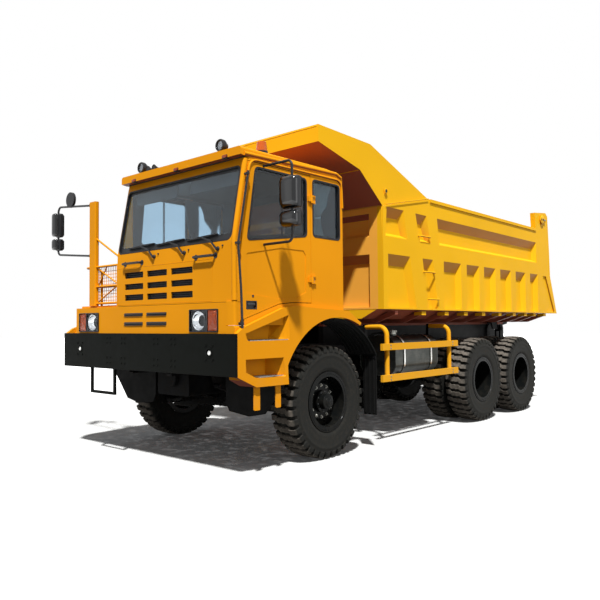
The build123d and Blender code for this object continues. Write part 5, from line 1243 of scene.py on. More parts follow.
def curtain(name, x, y_middle, flat, outline, fabric):
    """A gathered curtain along the truck, its width and middle following an outline of
    (share of the drop, width, shift along the truck)."""
    across, down = PLEATS * 12, 40
    verts = []
    for v in (r / down for r in range(down + 1)):
        width, shift = eased(outline, v)
        depth = pleat_depth(width, flat, PLEATS)
        for u in (c / across for c in range(across + 1)):
            wave = depth * sin(2 * pi * PLEATS * u + 0.5 * sin(5 * v + 3 * u))
            verts.append((x + wave, y_middle + shift + (u - 0.5) * width, HUNG + (FOOT - HUNG) * v))
    faces = quads(down + 1, across + 1, closed=False)
    made = piece(name, verts, faces, fabric)
    thick = made.modifiers.new("thickness", "SOLIDIFY")
    thick.thickness = 0.0012


def tie(name, x, y, share, along, across, fabric):
    """A band round a curtain, at a share of its drop."""
    up, z = Vector((0, 0, 0.014)), HUNG - share * DROP
    loops = []
    for a in turns(24) + [2 * pi]:
        centre = Vector((x + across * cos(a), y + along * sin(a), z + 0.006 * sin(2 * a)))
        out = Vector((cos(a), sin(a), 0)) * 0.002
        loops.append([centre + out + up, centre + out - up, centre - out - up, centre - out + up])
    Shape().loops(loops, caps=False).piece(name, fabric, smooth=False)


TIED = [
    (0.0, 0.40, 0.0), (0.30, 0.30, 0.02), (0.56, 0.085, 0.06), (0.62, 0.085, 0.06),
    (1.0, 0.17, 0.03),
]
BUNCH = [
    (0.0, 0.24, 0.0), (0.5, 0.20, 0.02), (0.80, 0.10, 0.05), (0.86, 0.10, 0.05),
    (1.0, 0.14, 0.04),
]
LEFT_TIED = [
    (0.0, 0.40, 0.0), (0.35, 0.27, -0.02), (0.60, 0.10, -0.07), (0.66, 0.10, -0.07),
    (1.0, 0.20, -0.05),
]
RIGHT_RAIL, LEFT_RAIL = CAB_RIGHT + 0.095, CAB_LEFT - 0.095
# name, rail, middle behind the axle, flat width, outline, fabric, and the tie's place behind
# the axle, share of the drop, and reach along and across the truck
for name, x, y, flat, outline, fabric, (tie_y, share, along, across) in (
    ("right_quarter", RIGHT_RAIL, 0.135, 0.80, TIED, curtain_cloth, (0.075, 0.59, 0.050, 0.034)),
    ("right_pillar", RIGHT_RAIL, 0.470, 0.70, BUNCH, curtain_cloth, (0.420, 0.83, 0.058, 0.032)),
    ("left_quarter", LEFT_RAIL, 0.135, 0.80, LEFT_TIED, sunlit_curtain_cloth,
     (0.205, 0.63, 0.058, 0.034)),
):
    curtain(f"{name}_curtain", x, AXLE_Y - y, flat, outline, fabric)
    tie(f"{name}_tie", x, AXLE_Y - tie_y, share, along, across, fabric)
rails = Shape()
for x in (RIGHT_RAIL, LEFT_RAIL):
    z = HUNG + 0.008
    rails.tube([(x, AXLE_Y - 0.64, z), (x, AXLE_Y + 0.11, z)], 0.006, 8)
rails.piece("curtain_rails", black_plastic)

# ---- platform: tread plate, wire mesh and the railing's cross ----
DECK_LOW, DECK_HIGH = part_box("platform_deck")
RAIL_TOP, PITCH, WIRE = 2.400, 0.042, 0.0036
POST_X = BUMPER_LOW.x + 0.540
low = (DECK_LOW.x + 0.01, DECK_LOW.y + 0.08, DECK_HIGH.z + 0.0004)
deck = Shape().box(low, (DECK_HIGH.x - 0.004, DECK_HIGH.y - 0.01, DECK_HIGH.z + 0.0022))
deck.piece("platform_tread_plate", deck_plate, smooth=False)
wires, cross, deck_bolts = Shape(), Shape(), Shape()


def wire_row(start, end, ends):
    """Wires at an even pitch from start to end; ends turns a place into a wire's ends."""
    for k in range(int((end - start) / PITCH)):
        wires.tube(ends(start + PITCH * (k + 0.5)), WIRE, 5)


x0, x1, z0, z1 = POST_X + 0.082, CAB_RIGHT - 0.060 - 0.012, DECK_HIGH.z + 0.045, RAIL_TOP - 0.012
y0, y1, side_x = POST_Y + 0.05, at(0, -1310, 0).y - 0.02, POST_X - 0.200
near, far = POST_Y + 0.018, POST_Y + 0.0215
wire_row(x0, x1, lambda x: [(x, near, z0), (x, near, z1)])
wire_row(z0, z1, lambda z: [(x0, far, z), (x1, far, z)])
wire_row(y0, y1, lambda y: [(side_x, y, z0), (side_x, y, z1)])
wire_row(z0, z1, lambda z: [(side_x + 0.0035, y0, z), (side_x + 0.0035, y1, z)])
wires.piece("railing_mesh", cab_paint)
y = POST_Y + 0.006
cross.tube([(x0, y, 2.385), (x1, y, 2.160)], 0.009, 8)
cross.tube([(x0, y, 2.130), (x1 - 0.25, y, 2.390)], 0.009, 8)
cross.piece("railing_cross", cab_paint)
for x in (DECK_LOW.x + 0.06, -1.05, -0.62):
    for y in (DECK_LOW.y + 0.14, DECK_LOW.y + 0.80, DECK_HIGH.y - 0.10):
        deck_bolts.bolt((x, y, DECK_HIGH.z + 0.0022), UPWARDS, 0.009)
deck_bolts.piece("platform_bolts", bolt_zinc, slot="cab_paint")

# ---- roof lamps, beacon and horns ----
LAMP_RIM = mm("20,71.5 -6,71.5 -14.5,67 -14.5,52 0,50 2,70.5")
LAMP_FACE = mm("-0.5,60 -4.5,50 -1,30 -4.5,12 -6,4")
LAMP_GLASS = mm("-6.5,60 -9,50 -12,30 -13,6")
rims, dishes, glass, collars = (Shape() for _ in range(4))
for x in (CAB_RIGHT + 0.110, CAB_LEFT - 0.575):
    centre = (x, at(0, -1310, 0).y, CAB_TOP + 0.250)
    rims.lathe(LAMP_RIM, centre, REARWARDS, 40, caps=False)
    dishes.lathe(LAMP_FACE, centre, REARWARDS, 40)
    glass.lathe(LAMP_GLASS, centre, REARWARDS, 40)
rims.piece("work_lamp_rims", black_plastic)
dishes.piece("work_lamp_reflectors", reflector)
glass.piece("work_lamp_glass", lamp_glazing)
foot_z, foot_radius = 0.026, 0.0625
profile = [(foot_z, foot_radius)]
for z in (0.030 + 0.011 * k for k in range(9)):
    radius = foot_radius - 0.0125 * (z - foot_z) / 0.104
    profile += [(z, radius), (z + 0.006, radius + 0.0012)]
profile += mm("129,49.5 130.5,40 131.2,12")
beacon = (CAB_LEFT - 0.095, AXLE_Y - 1.130, ROOF_Z)
Shape().lathe(profile, beacon, UPWARDS, 40).piece("beacon_lens", orange_lens)
foot = mm("4,67 22,68 25.5,64 25.5,58.5")
collars.lathe(foot, beacon, UPWARDS, 40)
mouth = mm("6,40.5 -2,42.5 -4,40 -2,37 4,36")
for x in (CAB_RIGHT + 0.410, CAB_RIGHT + 0.530):
    centre = (x, at(0, -1420, 0).y, ROOF_Z + 0.060)
    collars.lathe(mouth, centre, REARWARDS, 32)
    collars.lathe(mm("275,26 300,28 312,22"), centre, REARWARDS, 24)
collars.piece("horn_and_beacon_collars", black_plastic)

# ---- bed: ear collars, lifting eyes, seams and the tailgate's catches ----
BED_SIDE = BED_HIGH.x - 0.018
EAR_Y, EAR_Z = BED_HIGH.y - 0.730, 3.660
PIN_CAP = mm("0,92 10,92 14,86 14,12")
EYE = mm("0,36 4,36 6,33 6,26 4,25 4,6")
PIN_CAP_SHADE = mm("0,26 3,24 4,10")
HINGE_COLLAR = mm("0,66 22,66 26,60 26,41")
ear_rings, ear_bolts, eyes, hole_shades, collars = (Shape() for _ in range(5))
for side, _ in SIDES:
    out = (side, 0, 0)
    ear_rings.lathe(PIN_CAP, (side * BED_SIDE, EAR_Y, EAR_Z), out, 36)
    inner, outer = sorted((side * BED_SIDE, side * (BED_SIDE + 0.008)))
    ear_rings.box((inner, EAR_Y + 0.085, EAR_Z - 0.035), (outer, EAR_Y + 0.165, EAR_Z + 0.035))
    for dy in (0.105, 0.145):
        ear_bolts.bolt((side * (BED_SIDE + 0.008), EAR_Y + dy, EAR_Z), out)
    eye = (side * BED_SIDE - side * 0.005, BED_FRONT + 0.062, 3.430)
    eyes.lathe(EYE, eye, out, 30)
    # dark discs painted as shade: in each lifting eye's hole and two on each pin cap
    hole_shades.lathe(mm("4.4,24.5 5.6,10"), eye, out, 24)
    for dy in (-0.0468, 0.0414):
        hole_shades.lathe(PIN_CAP_SHADE, (side * (BED_SIDE + 0.0145), EAR_Y + dy, EAR_Z), out, 20)
    collars.lathe(HINGE_COLLAR, (side * 1.448, EAR_Y, EAR_Z), out, 32)
ear_rings.piece("tailgate_pin_collars", bed_paint, body="bed", bevel=0.002)
ear_bolts.piece("tailgate_pin_bolts", bolt_zinc, body="bed")
eyes.piece("bed_lifting_eyes", bed_paint, body="bed")
hole_shades.piece("bed_eye_and_pin_cap_shades", seal_rubber, body="bed")
collars.piece("tailgate_hinge_collars", bed_paint, body="tailgate")

# welds along the body's long joints
welds = Shape()
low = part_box("bed_sides")[0].z
for side, _ in SIDES:
    x = side * (BED_SIDE - 0.002)
    welds.tube([(x, BED_FRONT + 0.05, 3.253), (x, back(2.335), 3.478)], 0.006, 8)
    x = side * 1.560
    welds.tube([(x, BED_FRONT + 0.015, low + 0.02), (x, BED_FRONT - 0.001, 3.215)], 0.007, 8)
    x = side * 1.478
    welds.tube([(x, BED_FRONT + 0.12, 1.862), (x, BED_HIGH.y - 0.62, 1.862)], 0.010, 8)
for x, y, z in ((1.56, BED_FRONT - 0.001, 3.232), (1.545, back(0.659), 3.626)):
    welds.tube([(-x, y, z), (x, y, z)], 0.008, 8)
welds.piece("bed_welds", bed_paint, body="bed")

# a lip folded along the canopy's front edge
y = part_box("bed_canopy")[0].y + 0.012
lip = Shape().tube([(-1.555, y, 4.026), (1.555, y, 4.026)], 0.016, 12)
lip.piece("canopy_lip_bead", bed_paint, body="bed")

# the lower part of the tailgate's outer face: height and distance ahead of the bed's rear end
GATE_FOOT, GATE_BEND = mm("1822,6 2556,320")


def gate_y(z):
    """The tailgate's outer face at a height below its bend."""
    (z0, d0), (z1, d1) = GATE_FOOT, GATE_BEND
    return BED_HIGH.y - (d0 + (d1 - d0) * (z - z0) / (z1 - z0))


# a stiffener along the tailgate's foot and four across it, with catches and their pins
gate_trim, catches, pins = Shape(), Shape(), Shape()
low, high = 1.865, 1.975
y0, y1 = gate_y(low), gate_y(high)
skin = [(y0 - 0.030, low), (y0 - 0.001, low + 0.02), (y1 - 0.001, high - 0.02), (y1 - 0.030, high)]
gate_trim.extrude(skin, "X", (-1.30, 1.30))
for x in (-0.84, -0.28, 0.28, 0.84):
    loops = []
    for z in (1.99, 2.54):
        inner, outer = (min(gate_y(z) + dy, BED_HIGH.y - 0.004) for dy in (-0.01, 0.028))
        loops.append([(x - 0.055, inner, z), (x + 0.055, inner, z), (x + 0.040, outer, z),
                      (x - 0.040, outer, z)])
    gate_trim.loops(loops)
gate_trim.piece("tailgate_stiffeners", bed_paint, body="tailgate", bevel=0.004)
y = gate_y(1.97) - 0.055
HOOK = [
    (y - 0.13, 1.905), (y + 0.02, 1.905), (y + 0.055, 1.935), (y + 0.055, 1.985),
    (y + 0.02, 2.015), (y + 0.02, 1.975), (y - 0.01, 1.950), (y - 0.13, 1.950),
]
for side, _ in SIDES:
    x = side * 1.44
    catches.extrude(HOOK, "X", (x - 0.014, x + 0.014))
    pin = mm("-45,18 45,18 50,14")
    pins.lathe(pin, (x - side * 0.05, y - 0.03, 1.968), (side, 0, 0), 20)
catches.piece("tailgate_catches", frame_black, body="bed", bevel=0.003)
pins.piece("tailgate_catch_pins", bolt_zinc, body="tailgate")

# ---- tail lamps, reflectors and the towing pin ----
TAIL_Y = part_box("chassis_tail")[0].y
TAIL_FACE, LAMP_MIDDLE, TAIL_LAMP_Z = TAIL_Y + 0.180, 0.50, 1.130


def behind(x, y):
    """Turns outline points and a depth into points that face the rear."""
    return lambda a, b, d: Vector((x + a, y + d, TAIL_LAMP_Z + b))


boxes, reds, ambers, clears, brackets = (Shape() for _ in range(5))
for side, _ in SIDES:
    x = side * LAMP_MIDDLE
    boxes.plate(rounded_loop(0.330, 0.120, 0.020), behind(x, TAIL_FACE + 0.004), 0.055)
    lenses = (-0.105, reds, 0.095), (0.0, ambers, 0.095), (0.105, clears, 0.085)
    for offset, shape, width in lenses:
        spot = behind(side * (LAMP_MIDDLE + offset), TAIL_FACE + 0.057)
        shape.domed(rounded_loop(width, 0.095, 0.014), spot, 0.008, 0.008, 0.9)
    brackets.box((x - 0.05, TAIL_FACE - 0.002, 1.035), (x + 0.05, TAIL_FACE + 0.006, 1.225))
    disc = mm("0,34 6,34 9,26")
    reds.lathe(disc, (side * 0.70, TAIL_FACE + 0.001, 1.250), REARWARDS, 28)
boxes.piece("tail_lamp_boxes", black_plastic, bevel=0.003)
brackets.piece("tail_lamp_brackets", frame_black, bevel=0.002)
reds.piece("tail_lamp_red_lenses", red_lens)
ambers.piece("tail_lamp_amber_lenses", amber)
clears.piece("reversing_lamp_lenses", lamp_glazing)
y = TAIL_Y + 0.090 + 0.180
TOW_PIN = mm("-185,12 -180,26 20,26 22,44 34,44 38,36")
tow_pin = Shape().lathe(TOW_PIN, (0, y, 1.240), UPWARDS, 28)
tow_pin.tube([(0, y, 1.272), (0, y, 1.310), (0.05, y, 1.330), (0.05, y, 1.272)], 0.007, 8)
tow_pin.piece("towing_pin", bolt_zinc)

# ---- the bed's runner ends, beam ends, sill and wear strips, and the hinge's plates ----
HINGE_Y = back(6.750)
PIN_Y = TAIL_Y + 0.090


def side_plates(name, made, outlines, ends, **options):
    """Plates that stand along the truck on both sides, from outlines of (y, z)."""
    shape = Shape()
    for side, _ in SIDES:
        for outline in outlines:
            shape.extrude(outline, "X", [side * x for x in ends])
    shape.piece(name, made, **options)


def from_hinge(*outline):
    return [(HINGE_Y + dy, z) for dy, z in outline]


RUNNER_END = [
    (PIN_Y - 0.112, 1.350), (PIN_Y - 0.02, 1.400), (PIN_Y + 0.070, 1.430),
    (PIN_Y + 0.160, 1.500), (PIN_Y + 0.160, 1.690), (PIN_Y - 0.112, 1.690),
]
ends = Shape()
for side, _ in SIDES:
    ends.extrude(RUNNER_END, "X", [side * x for x in (0.345, 0.425)])
ends.box((-0.595, PIN_Y - 0.13, 1.610), (0.595, PIN_Y + 0.10, 1.688))
ends.piece("runner_ends", frame_black, body="bed", slot="bed_paint", bevel=0.003)

# the ends of the cross beams, which show below the side's lower edge
BEAM_END = mm("1425,1738 1557.5,1742 1557.5,1799 1425,1788")
BEAMS = (2.224, 2.900, 3.528, 4.160, 4.795, 5.399, 5.906, 6.337, 6.843)
tabs = Shape()
for side, _ in SIDES:
    for y in (back(distance) for distance in BEAMS):
        tabs.extrude([(side * x, z) for x, z in BEAM_END], "Y", (y - 0.060, y + 0.060))
tabs.piece("bed_beam_ends", bed_paint, body="bed", bevel=0.003)

# the plate that closes the bed's front below its wall, down to the dished floor
SILL = mm("-1470,1824.5 -1200,1694 1200,1694 1470,1824.5")
sill = Shape().extrude(SILL, "Y", (BED_FRONT + 0.003, BED_FRONT + 0.094))
sill.piece("bed_front_sill", bed_paint, body="bed", smooth=False, bevel=0.002)
strips = Shape()
for x in (0.385, -0.385):
    low = (x - 0.038, BED_FRONT + 0.10, 1.3405)
    strips.box(low, (x + 0.038, HINGE_Y - 0.115, 1.3458))
strips.piece("runner_wear_strips", flap_rubber, body="bed", smooth=False)
# gussets that brace the hinge brackets to the rails
GUSSET = from_hinge((-0.200, 1.300), (0.310, 1.300), (0.150, 1.490), (0.070, 1.580),
                    (-0.060, 1.605), (-0.150, 1.570), (-0.200, 1.500))
side_plates("tail_gussets", frame_black, [GUSSET], (0.445, 0.459), smooth=False, bevel=0.003)
# webs that brace the bed's hinge lugs, fore and aft of the pin
WEBS = [
    from_hinge((-0.42, 1.693), (-0.30, 1.500), (-0.09, 1.475), (-0.075, 1.520), (-0.12, 1.693)),
    from_hinge((0.10, 1.693), (0.075, 1.560), (0.36, 1.600), (0.36, 1.693)),
]
side_plates("bed_hinge_webs", frame_black, WEBS, (0.612, 0.648), body="bed", slot="bed_paint",
            smooth=False, bevel=0.003)

# ---- fuel tank: bright straps, cap and pipes ----
TANK_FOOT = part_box("fuel_tank")[0].z + 0.008
TANK_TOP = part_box("fuel_tank")[0].z + 0.580
TANK_LEFT, TANK_WIDTH, TANK_HEIGHT = 1.430, 0.630, 0.572
TANK_X, TANK_Z = (0.800 + TANK_LEFT) / 2, (TANK_FOOT + TANK_TOP) / 2


def round_tank(grow, radius, steps):
    """An outline round the tank, grown on its width and height."""
    loop = rounded_loop(TANK_WIDTH + grow, TANK_HEIGHT + grow, radius, steps)
    return shifted(loop, TANK_X, TANK_Z)


def along_y(start, way=1):
    return lambda a, b, d: Vector((a, start + way * d, b))


straps, cap, rims, hoses, fittings = (Shape() for _ in range(5))
for y in (back(1.880), back(2.620)):
    outer, inner = round_tank(0.021, 0.2005, 10), round_tank(0.017, 0.1985, 10)
    straps.strip(outer, inner, along_y(y - 0.017), 0.034)
    straps.bolt((TANK_LEFT - 0.075, y, TANK_FOOT + 0.055), (0.7, 0, -0.7))
straps.piece("fuel_tank_straps", bright_steel)
filler = Vector((1.150, back(1.990), TANK_TOP + 0.050))
CAP = mm("-30,60 -6,60 -4,66 22,66 30,58 30,20 36,18 36,4")
cap.lathe(CAP, filler, UPWARDS, 24)
for a in turns(12):
    x, y = 0.064 * cos(a), 0.064 * sin(a)
    low = filler + Vector((x - 0.006, y - 0.006, -0.002))
    cap.box(low, filler + Vector((x + 0.006, y + 0.006, 0.020)))
cap.piece("fuel_tank_cap", bolt_zinc, slot="rod_chrome")
for dy, way in ((-0.001, -1), (1.161, 1)):
    place = along_y(back(1.660) + dy, way)
    rims.strip(round_tank(0, 0.190, 8), round_tank(-0.028, 0.178, 8), place, 0.009)
rims.piece("fuel_tank_end_rims", tank_metal, bevel=0.002)
top = TANK_TOP
for radius, bend, route in (
    (0.012, 0.05, ((0.98, 2.30, top - 0.002), (0.98, 2.30, top + 0.05), (0.60, 2.25, top + 0.02),
                   (0.46, 2.10, 1.20))),
    (0.020, 0.07, ((-0.98, 2.45, top - 0.02), (-0.98, 2.45, top + 0.04), (-0.62, 2.50, 1.36),
                   (-0.46, 2.55, 1.10), (-0.34, 2.66, 1.00))),
    (0.020, 0.07, ((-0.98, 2.05, top - 0.02), (-0.98, 2.05, top + 0.06), (-0.60, 1.90, 1.38),
                   (-0.46, 1.60, 1.20))),
):
    hoses.tube([(x, back(distance), z) for x, distance, z in route], radius, 10, 6, bend)
    x, distance, _ = route[0]
    nut = mm("-4,34 10,34 12,26 30,26")
    fittings.lathe(nut, (x, back(distance), top), UPWARDS, 6)
hoses.piece("tank_hoses", seal_rubber)
fittings.piece("tank_fittings", bolt_zinc)

# ---- side guards: bolts through the bars ----
GUARD_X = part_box("side_guards")[1].x
guard_bolts = Shape()
for side, _ in SIDES:
    for y in (back(1.250), back(2.950)):
        for level in (1.310, 0.890):
            for dz in (-0.022, 0.022):
                guard_bolts.bolt((side * GUARD_X, y, level + dz), (side, 0, 0), 0.0085)
guard_bolts.piece("side_guard_bolts", bolt_zinc)

# ---- splash aprons ahead of the front wheels, ribs in the arch liners, mudflap clamps ----
ARCH_RADIUS, RIB_RADIUS, FLAP_Y = 1.001, 0.984, back(0.849)
APRON_Y, APRON_TOP = back(-0.905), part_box("right_step_box")[0].z + 0.03
APRON = [
    (1.648, APRON_TOP), (1.648, 0.935), (1.360, 0.615), (1.100, 0.565), (0.760, 0.600),
    (0.700, 0.700), (0.700, APRON_TOP),
]
aprons, ribs, flap_trim = Shape(), Shape(), Shape()
for side, _ in SIDES:
    aprons.extrude([(side * x, z) for x, z in APRON], "Y", (APRON_Y, APRON_Y + 0.010))
    for x in (side * (1.235 + 0.062 * k) for k in range(7)):
        rows = []
        for a in (radians(2 + 54 * j / 16) for j in range(17)):
            (y, z), (inner_y, inner_z) = (
                (AXLE_Y + r * sin(a), AXLE_Z + r * cos(a)) for r in (ARCH_RADIUS, RIB_RADIUS)
            )
            rows.append([(x - 0.012, y, z), (x + 0.012, y, z), (x + 0.007, inner_y, inner_z),
                         (x - 0.007, inner_y, inner_z)])
        ribs.loops(rows)
    for x in (side * (1.485 + 0.067 * k) for k in range(3)):
        y, inner_y = FLAP_Y, back(0.836)
        rib = [(x - 0.012, y), (x + 0.012, y), (x + 0.007, inner_y), (x - 0.007, inner_y)]
        ribs.extrude(rib, "Z", (0.46, 1.16))
    inner, outer = sorted((side * 1.452, side * 1.653))
    flap_trim.box((inner, back(0.838), 1.165), (outer, back(0.848), 1.205))
    for k in range(4):
        flap_trim.bolt((side * (1.480 + 0.049 * k), back(0.838), 1.185), AHEAD, 0.008)
aprons.piece("front_splash_aprons", flap_rubber, bevel=0.002)
ribs.piece("arch_liner_ribs", flap_rubber)
flap_trim.piece("mudflap_clamps", frame_black, bevel=0.0015)

# ---- suspension: leaves, clamps and bolts ----
SPRING_X, SPRING_EYE_Z = 0.425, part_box("front_springs")[1].z - 0.034
TRUNNION_Y, TRUNNION_Z = (MIDDLE_Y + REAR_Y) / 2, AXLE_Z + 0.015
EYE_PIN = mm("-62,22 -52,26 52,26 62,22")
TRUNNION_CAP = mm("-4,98 30,98 40,86 40,30")
leaves, clamps = Shape(), Shape()


def u_bolt(x0, x1, y, foot, head, radius):
    points = [(x0, y, foot), (x0, y, head), (x1, y, head), (x1, y, foot)]
    clamps.tube(points, radius, 10, 5, 0.03)


for side, _ in SIDES:
    x = side * SPRING_X
    for k in range(5):
        reach = 0.700 - 0.12 * k
        rows = []
        for u in (-1 + 2 * j / 12 for j in range(13)):
            z = 0.735 + 0.022 * k + 0.10 * (u * reach / 0.79) ** 2
            corners = (-0.049, z), (0.049, z), (0.049, z - 0.009), (-0.049, z - 0.009)
            rows.append([(x + dx, AXLE_Y + u * reach, height) for dx, height in corners])
        leaves.loops(rows)
    for dy in (-0.062, 0.062):
        u_bolt(x - 0.060, x + 0.060, AXLE_Y + dy, 0.49, 0.748, 0.010)
    for dy in (-0.79, 0.79):
        clamps.lathe(EYE_PIN, (x, AXLE_Y + dy, SPRING_EYE_Z), LEFTWARDS, 18)
    clamps.lathe(TRUNNION_CAP, (side * 0.655, TRUNNION_Y, TRUNNION_Z), (side, 0, 0), 32)
    for a in turns(6):
        centre = (side * 0.695, TRUNNION_Y + 0.062 * cos(a), TRUNNION_Z + 0.062 * sin(a))
        clamps.bolt(centre, (side, 0, 0), 0.010)
    for dy in (-0.11, 0.11):
        ends = (side * 0.510, side * 0.630, TRUNNION_Y + dy, AXLE_Z + 0.09, AXLE_Z + 0.330)
        u_bolt(*ends, 0.012)
leaves.piece("front_spring_leaves", frame_black, bevel=0.001)
clamps.piece("spring_clamps", frame_black)

# ---- brake chambers, air reservoirs and lines ----
CHAMBER = mm("-20,20 0,50 8,78 60,82 64,88 78,88 82,80 140,74 150,50")
RESERVOIR = mm("0,30 6,70 22,100 44,112 400,112 422,100 438,70 444,30")
BAND = mm("0,112.5 0,115.5 30,115.5 30,112.5")
# the brake line's points: across, behind its axle, height above the axle or the ground
LINE = ((0.72, 0.33, AXLE_Z + 0.19), (0.66, 0.40, AXLE_Z + 0.34), (0.50, 0.38, 1.10),
        (0.445, 0.30, 1.15))
chambers, reservoirs, air_lines = Shape(), Shape(), Shape()
for side, _ in SIDES:
    for y in (MIDDLE_Y, REAR_Y):
        centre = (side * 0.72, y + 0.20, AXLE_Z + 0.135)
        chambers.lathe(CHAMBER, centre, (0, 1, 0.15), 28)
        chambers.tube([centre, (side * 0.72, y + 0.06, AXLE_Z + 0.07)], 0.012, 8)
        air_lines.tube([(side * x, y + dy, z) for x, dy, z in LINE], 0.009, 8, 6, 0.06)
for z in (1.085, 0.835):
    for side, _ in SIDES:
        reservoirs.lathe(RESERVOIR, (side * 0.66, back(1.085), z), REARWARDS, 32)
        for dy in (0.11, 0.33):
            place = (side * 0.66, back(1.085) + dy, z)
            reservoirs.lathe(BAND, place, REARWARDS, 32, caps=False)
chambers.piece("brake_chambers", cast_metal)
reservoirs.piece("air_reservoirs", frame_black)
air_lines.piece("brake_lines", seal_rubber)

# ---- engine: sump, pulleys and fan ----
ENGINE_FRONT, ENGINE_FOOT = back(-1.150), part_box("engine")[0].z
ENGINE_SIDE, FAN_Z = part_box("engine")[1].x, 1.30
parts, sump = Shape(), Shape()
for x, z, segments, profile in (
    (0, 0.98, 36, mm("0,110 12,116 20,104 30,104 38,116 50,110 50,30")),
    (0.19, 1.22, 30, mm("0,70 30,70 34,60 50,30")),
    (-0.19, 1.18, 30, mm("0,60 30,60 34,50 50,30")),
):
    parts.lathe(profile, (x, ENGINE_FRONT, z), AHEAD, segments)
hub = Vector((0, ENGINE_FRONT - 0.075, FAN_Z))
for a in turns(9):
    along, across = Vector((cos(a), 0, sin(a))), Vector((-sin(a), 0, cos(a)))
    loops = []
    for r, w, twist in ((0.06, 0.030, 0.020), (0.26, 0.055, 0.012)):
        c = hub + along * r
        corners = ((1, twist), (1, twist + 0.004), (-1, 0.004 - twist), (-1, -twist))
        loops.append([c + across * (w * way) + Vector((0, dy, 0)) for way, dy in corners])
    parts.loops(loops)
boss = mm("0,70 60,70 78,50")
parts.lathe(boss, (0, ENGINE_FRONT - 0.03, FAN_Z), AHEAD, 28)
parts.piece("engine_pulleys_and_fan", engine_black)
for y in (AXLE_Y - 1.06 + 0.10 * k for k in range(12)):
    sump.box((-0.235, y, ENGINE_FOOT - 0.012), (0.235, y + 0.030, ENGINE_FOOT + 0.004))
for side, _ in SIDES:
    for y in (AXLE_Y - 1.03 + 0.11 * k for k in range(11)):
        sump.bolt((side * (ENGINE_SIDE - 0.045), y, ENGINE_FOOT), (0, 0, -1), 0.009)
sump.piece("engine_sump_ribs", engine_black, bevel=0.002)


# ---- camera ----
def aim_camera(place, yaw, pitch, roll, lens):
    """A camera at a place, turned left by yaw, up by pitch and rolled, in radians."""
    forward = Vector((-sin(yaw) * cos(pitch), cos(yaw) * cos(pitch), sin(pitch)))
    right = Vector((cos(yaw), sin(yaw), 0))
    up = right.cross(forward)
    turned_right = right * cos(roll) + up * sin(roll)
    turned_up = up * cos(roll) - right * sin(roll)
    data = bpy.data.cameras.new("camera")
    data.lens = lens
    data.sensor_width = 36
    data.clip_end = 200
    matrix = Matrix((turned_right, turned_up, -forward)).transposed().to_4x4()
    matrix.translation = place
    scene.camera = add_object("camera", data)
    scene.camera.matrix_world = matrix


# solved from the photo's wheels, axles and bumper
aim_camera((6.576, -9.022, 1.628), 0.728, 0.037, -0.009, 39.05)

# ---- studio ----
scene.view_settings.view_transform = "Standard"


def lamp(name, kind, place, target, power, **shape):
    data = bpy.data.lights.new(name, kind)
    data.energy = power
    for key, value in shape.items():
        setattr(data, key, value)
    light = add_object(name, data)
    light.location = place
    light.rotation_euler = (Vector(target) - Vector(place)).to_track_quat("-Z", "Y").to_euler()
    return light


lamp("key", "SUN", (6.4, -6.8, 15), (0, 0, 0), 5.4, angle=radians(3))
soft_lamps = [
    lamp("side_soft", "AREA", (14, 1, 5), (0, 0, 2), 420, size=9),
    lamp("front_soft", "AREA", (-3, -15, 5), (0, 0, 2), 150, size=9),
    lamp("back_soft", "AREA", (-7, 13, 8), (0, 0, 2), 450, size=9),
]


def seen_ray(tree):
    """1 for rays that come from the camera, a mirror or glass, and 0 for the rest."""
    path = tree.nodes.new("ShaderNodeLightPath")
    total = path.outputs["Is Camera Ray"]
    for name in ("Is Glossy Ray", "Is Transmission Ray"):
        both = tree.nodes.new("ShaderNodeMath")
        both.operation = "MAXIMUM"
        tree.links.new(total, both.inputs[0])
        tree.links.new(path.outputs[name], both.inputs[1])
        total = both.outputs["Value"]
    return total


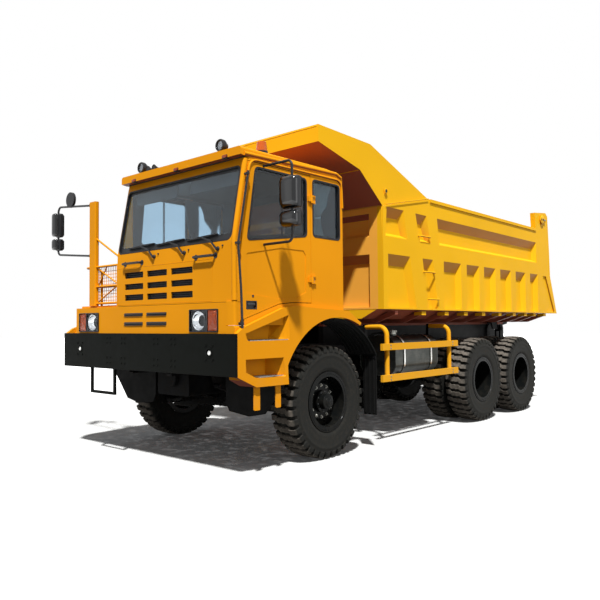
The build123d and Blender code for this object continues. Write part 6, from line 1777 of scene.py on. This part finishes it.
# a dim sky lights the truck, and the camera sees white
world = bpy.data.worlds.new("world")
scene.world = world
world.use_nodes = True
tree = world.node_tree
dim, white, either = (
    tree.nodes.new(f"ShaderNode{kind}") for kind in ("Background", "Background", "MixShader")
)
dim.inputs["Color"].default_value = (0.92, 0.95, 1.0, 1)
dim.inputs["Strength"].default_value = 0.20
white.inputs["Color"].default_value = (1, 1, 1, 1)
tree.links.new(seen_ray(tree), either.inputs["Fac"])
tree.links.new(dim.outputs["Background"], either.inputs[1])
tree.links.new(white.outputs["Background"], either.inputs[2])
tree.links.new(either.outputs["Shader"], tree.nodes["World Output"].inputs["Surface"])

# a gravelled floor that fades into white away from the truck
FADE_START, FADE_END = 6, 9
bpy.ops.mesh.primitive_plane_add(size=160, location=(0, 0, 0))
floor = bpy.context.object
floor.name = "studio_floor"
ground = Shader("studio_floor", (0.9, 0.9, 0.9), 0.9)
ground.set({SPECULAR: 0.0, "Emission Color": (1, 1, 1, 1)})
visible = seen_ray(ground.tree)
fine = ground.remap(ground.noise(38, 5.0, 0.7), 0.35, 0.65)
gravel = ground.product(fine, ground.remap(ground.noise(5, 4.0), 0.3, 0.7, 0.5, 1.2))
grains = ground.mix(gravel, (0.60, 0.60, 0.58), (0.80, 0.80, 0.79))
# gravel specks glow for seen rays: painted glints in the truck's shadow
glowing_specks = ground.product(ground.remap(ground.noise(5.5, 6.0, 0.8), 0.47, 0.62), 0.095)
ground.paint("Base Color", ground.mix(visible, (0.13, 0.13, 0.13), grains))
length = ground.node("ShaderNodeVectorMath", operation="LENGTH")
ground.link(ground.place, length.inputs[0])
# seen rays make the floor glow: faintly near the truck, which lightens its shadow, and to white far
# off
far = ground.remap(length.outputs["Value"], FADE_START, FADE_END, 0.02, 1)
ground.paint("Emission Strength", ground.product(ground.math("MAXIMUM", far, glowing_specks), visible))
floor.data.materials.append(ground.material)
# the soft lamps leave the floor to the key lamp, so that the truck's shadow stays dark on it
unlit = bpy.data.collections.new("soft_light_receivers")
unlit.objects.link(floor)
unlit.collection_objects[0].light_linking.link_state = "EXCLUDE"
for light in soft_lamps:
    light.light_linking.receiver_collection = unlit
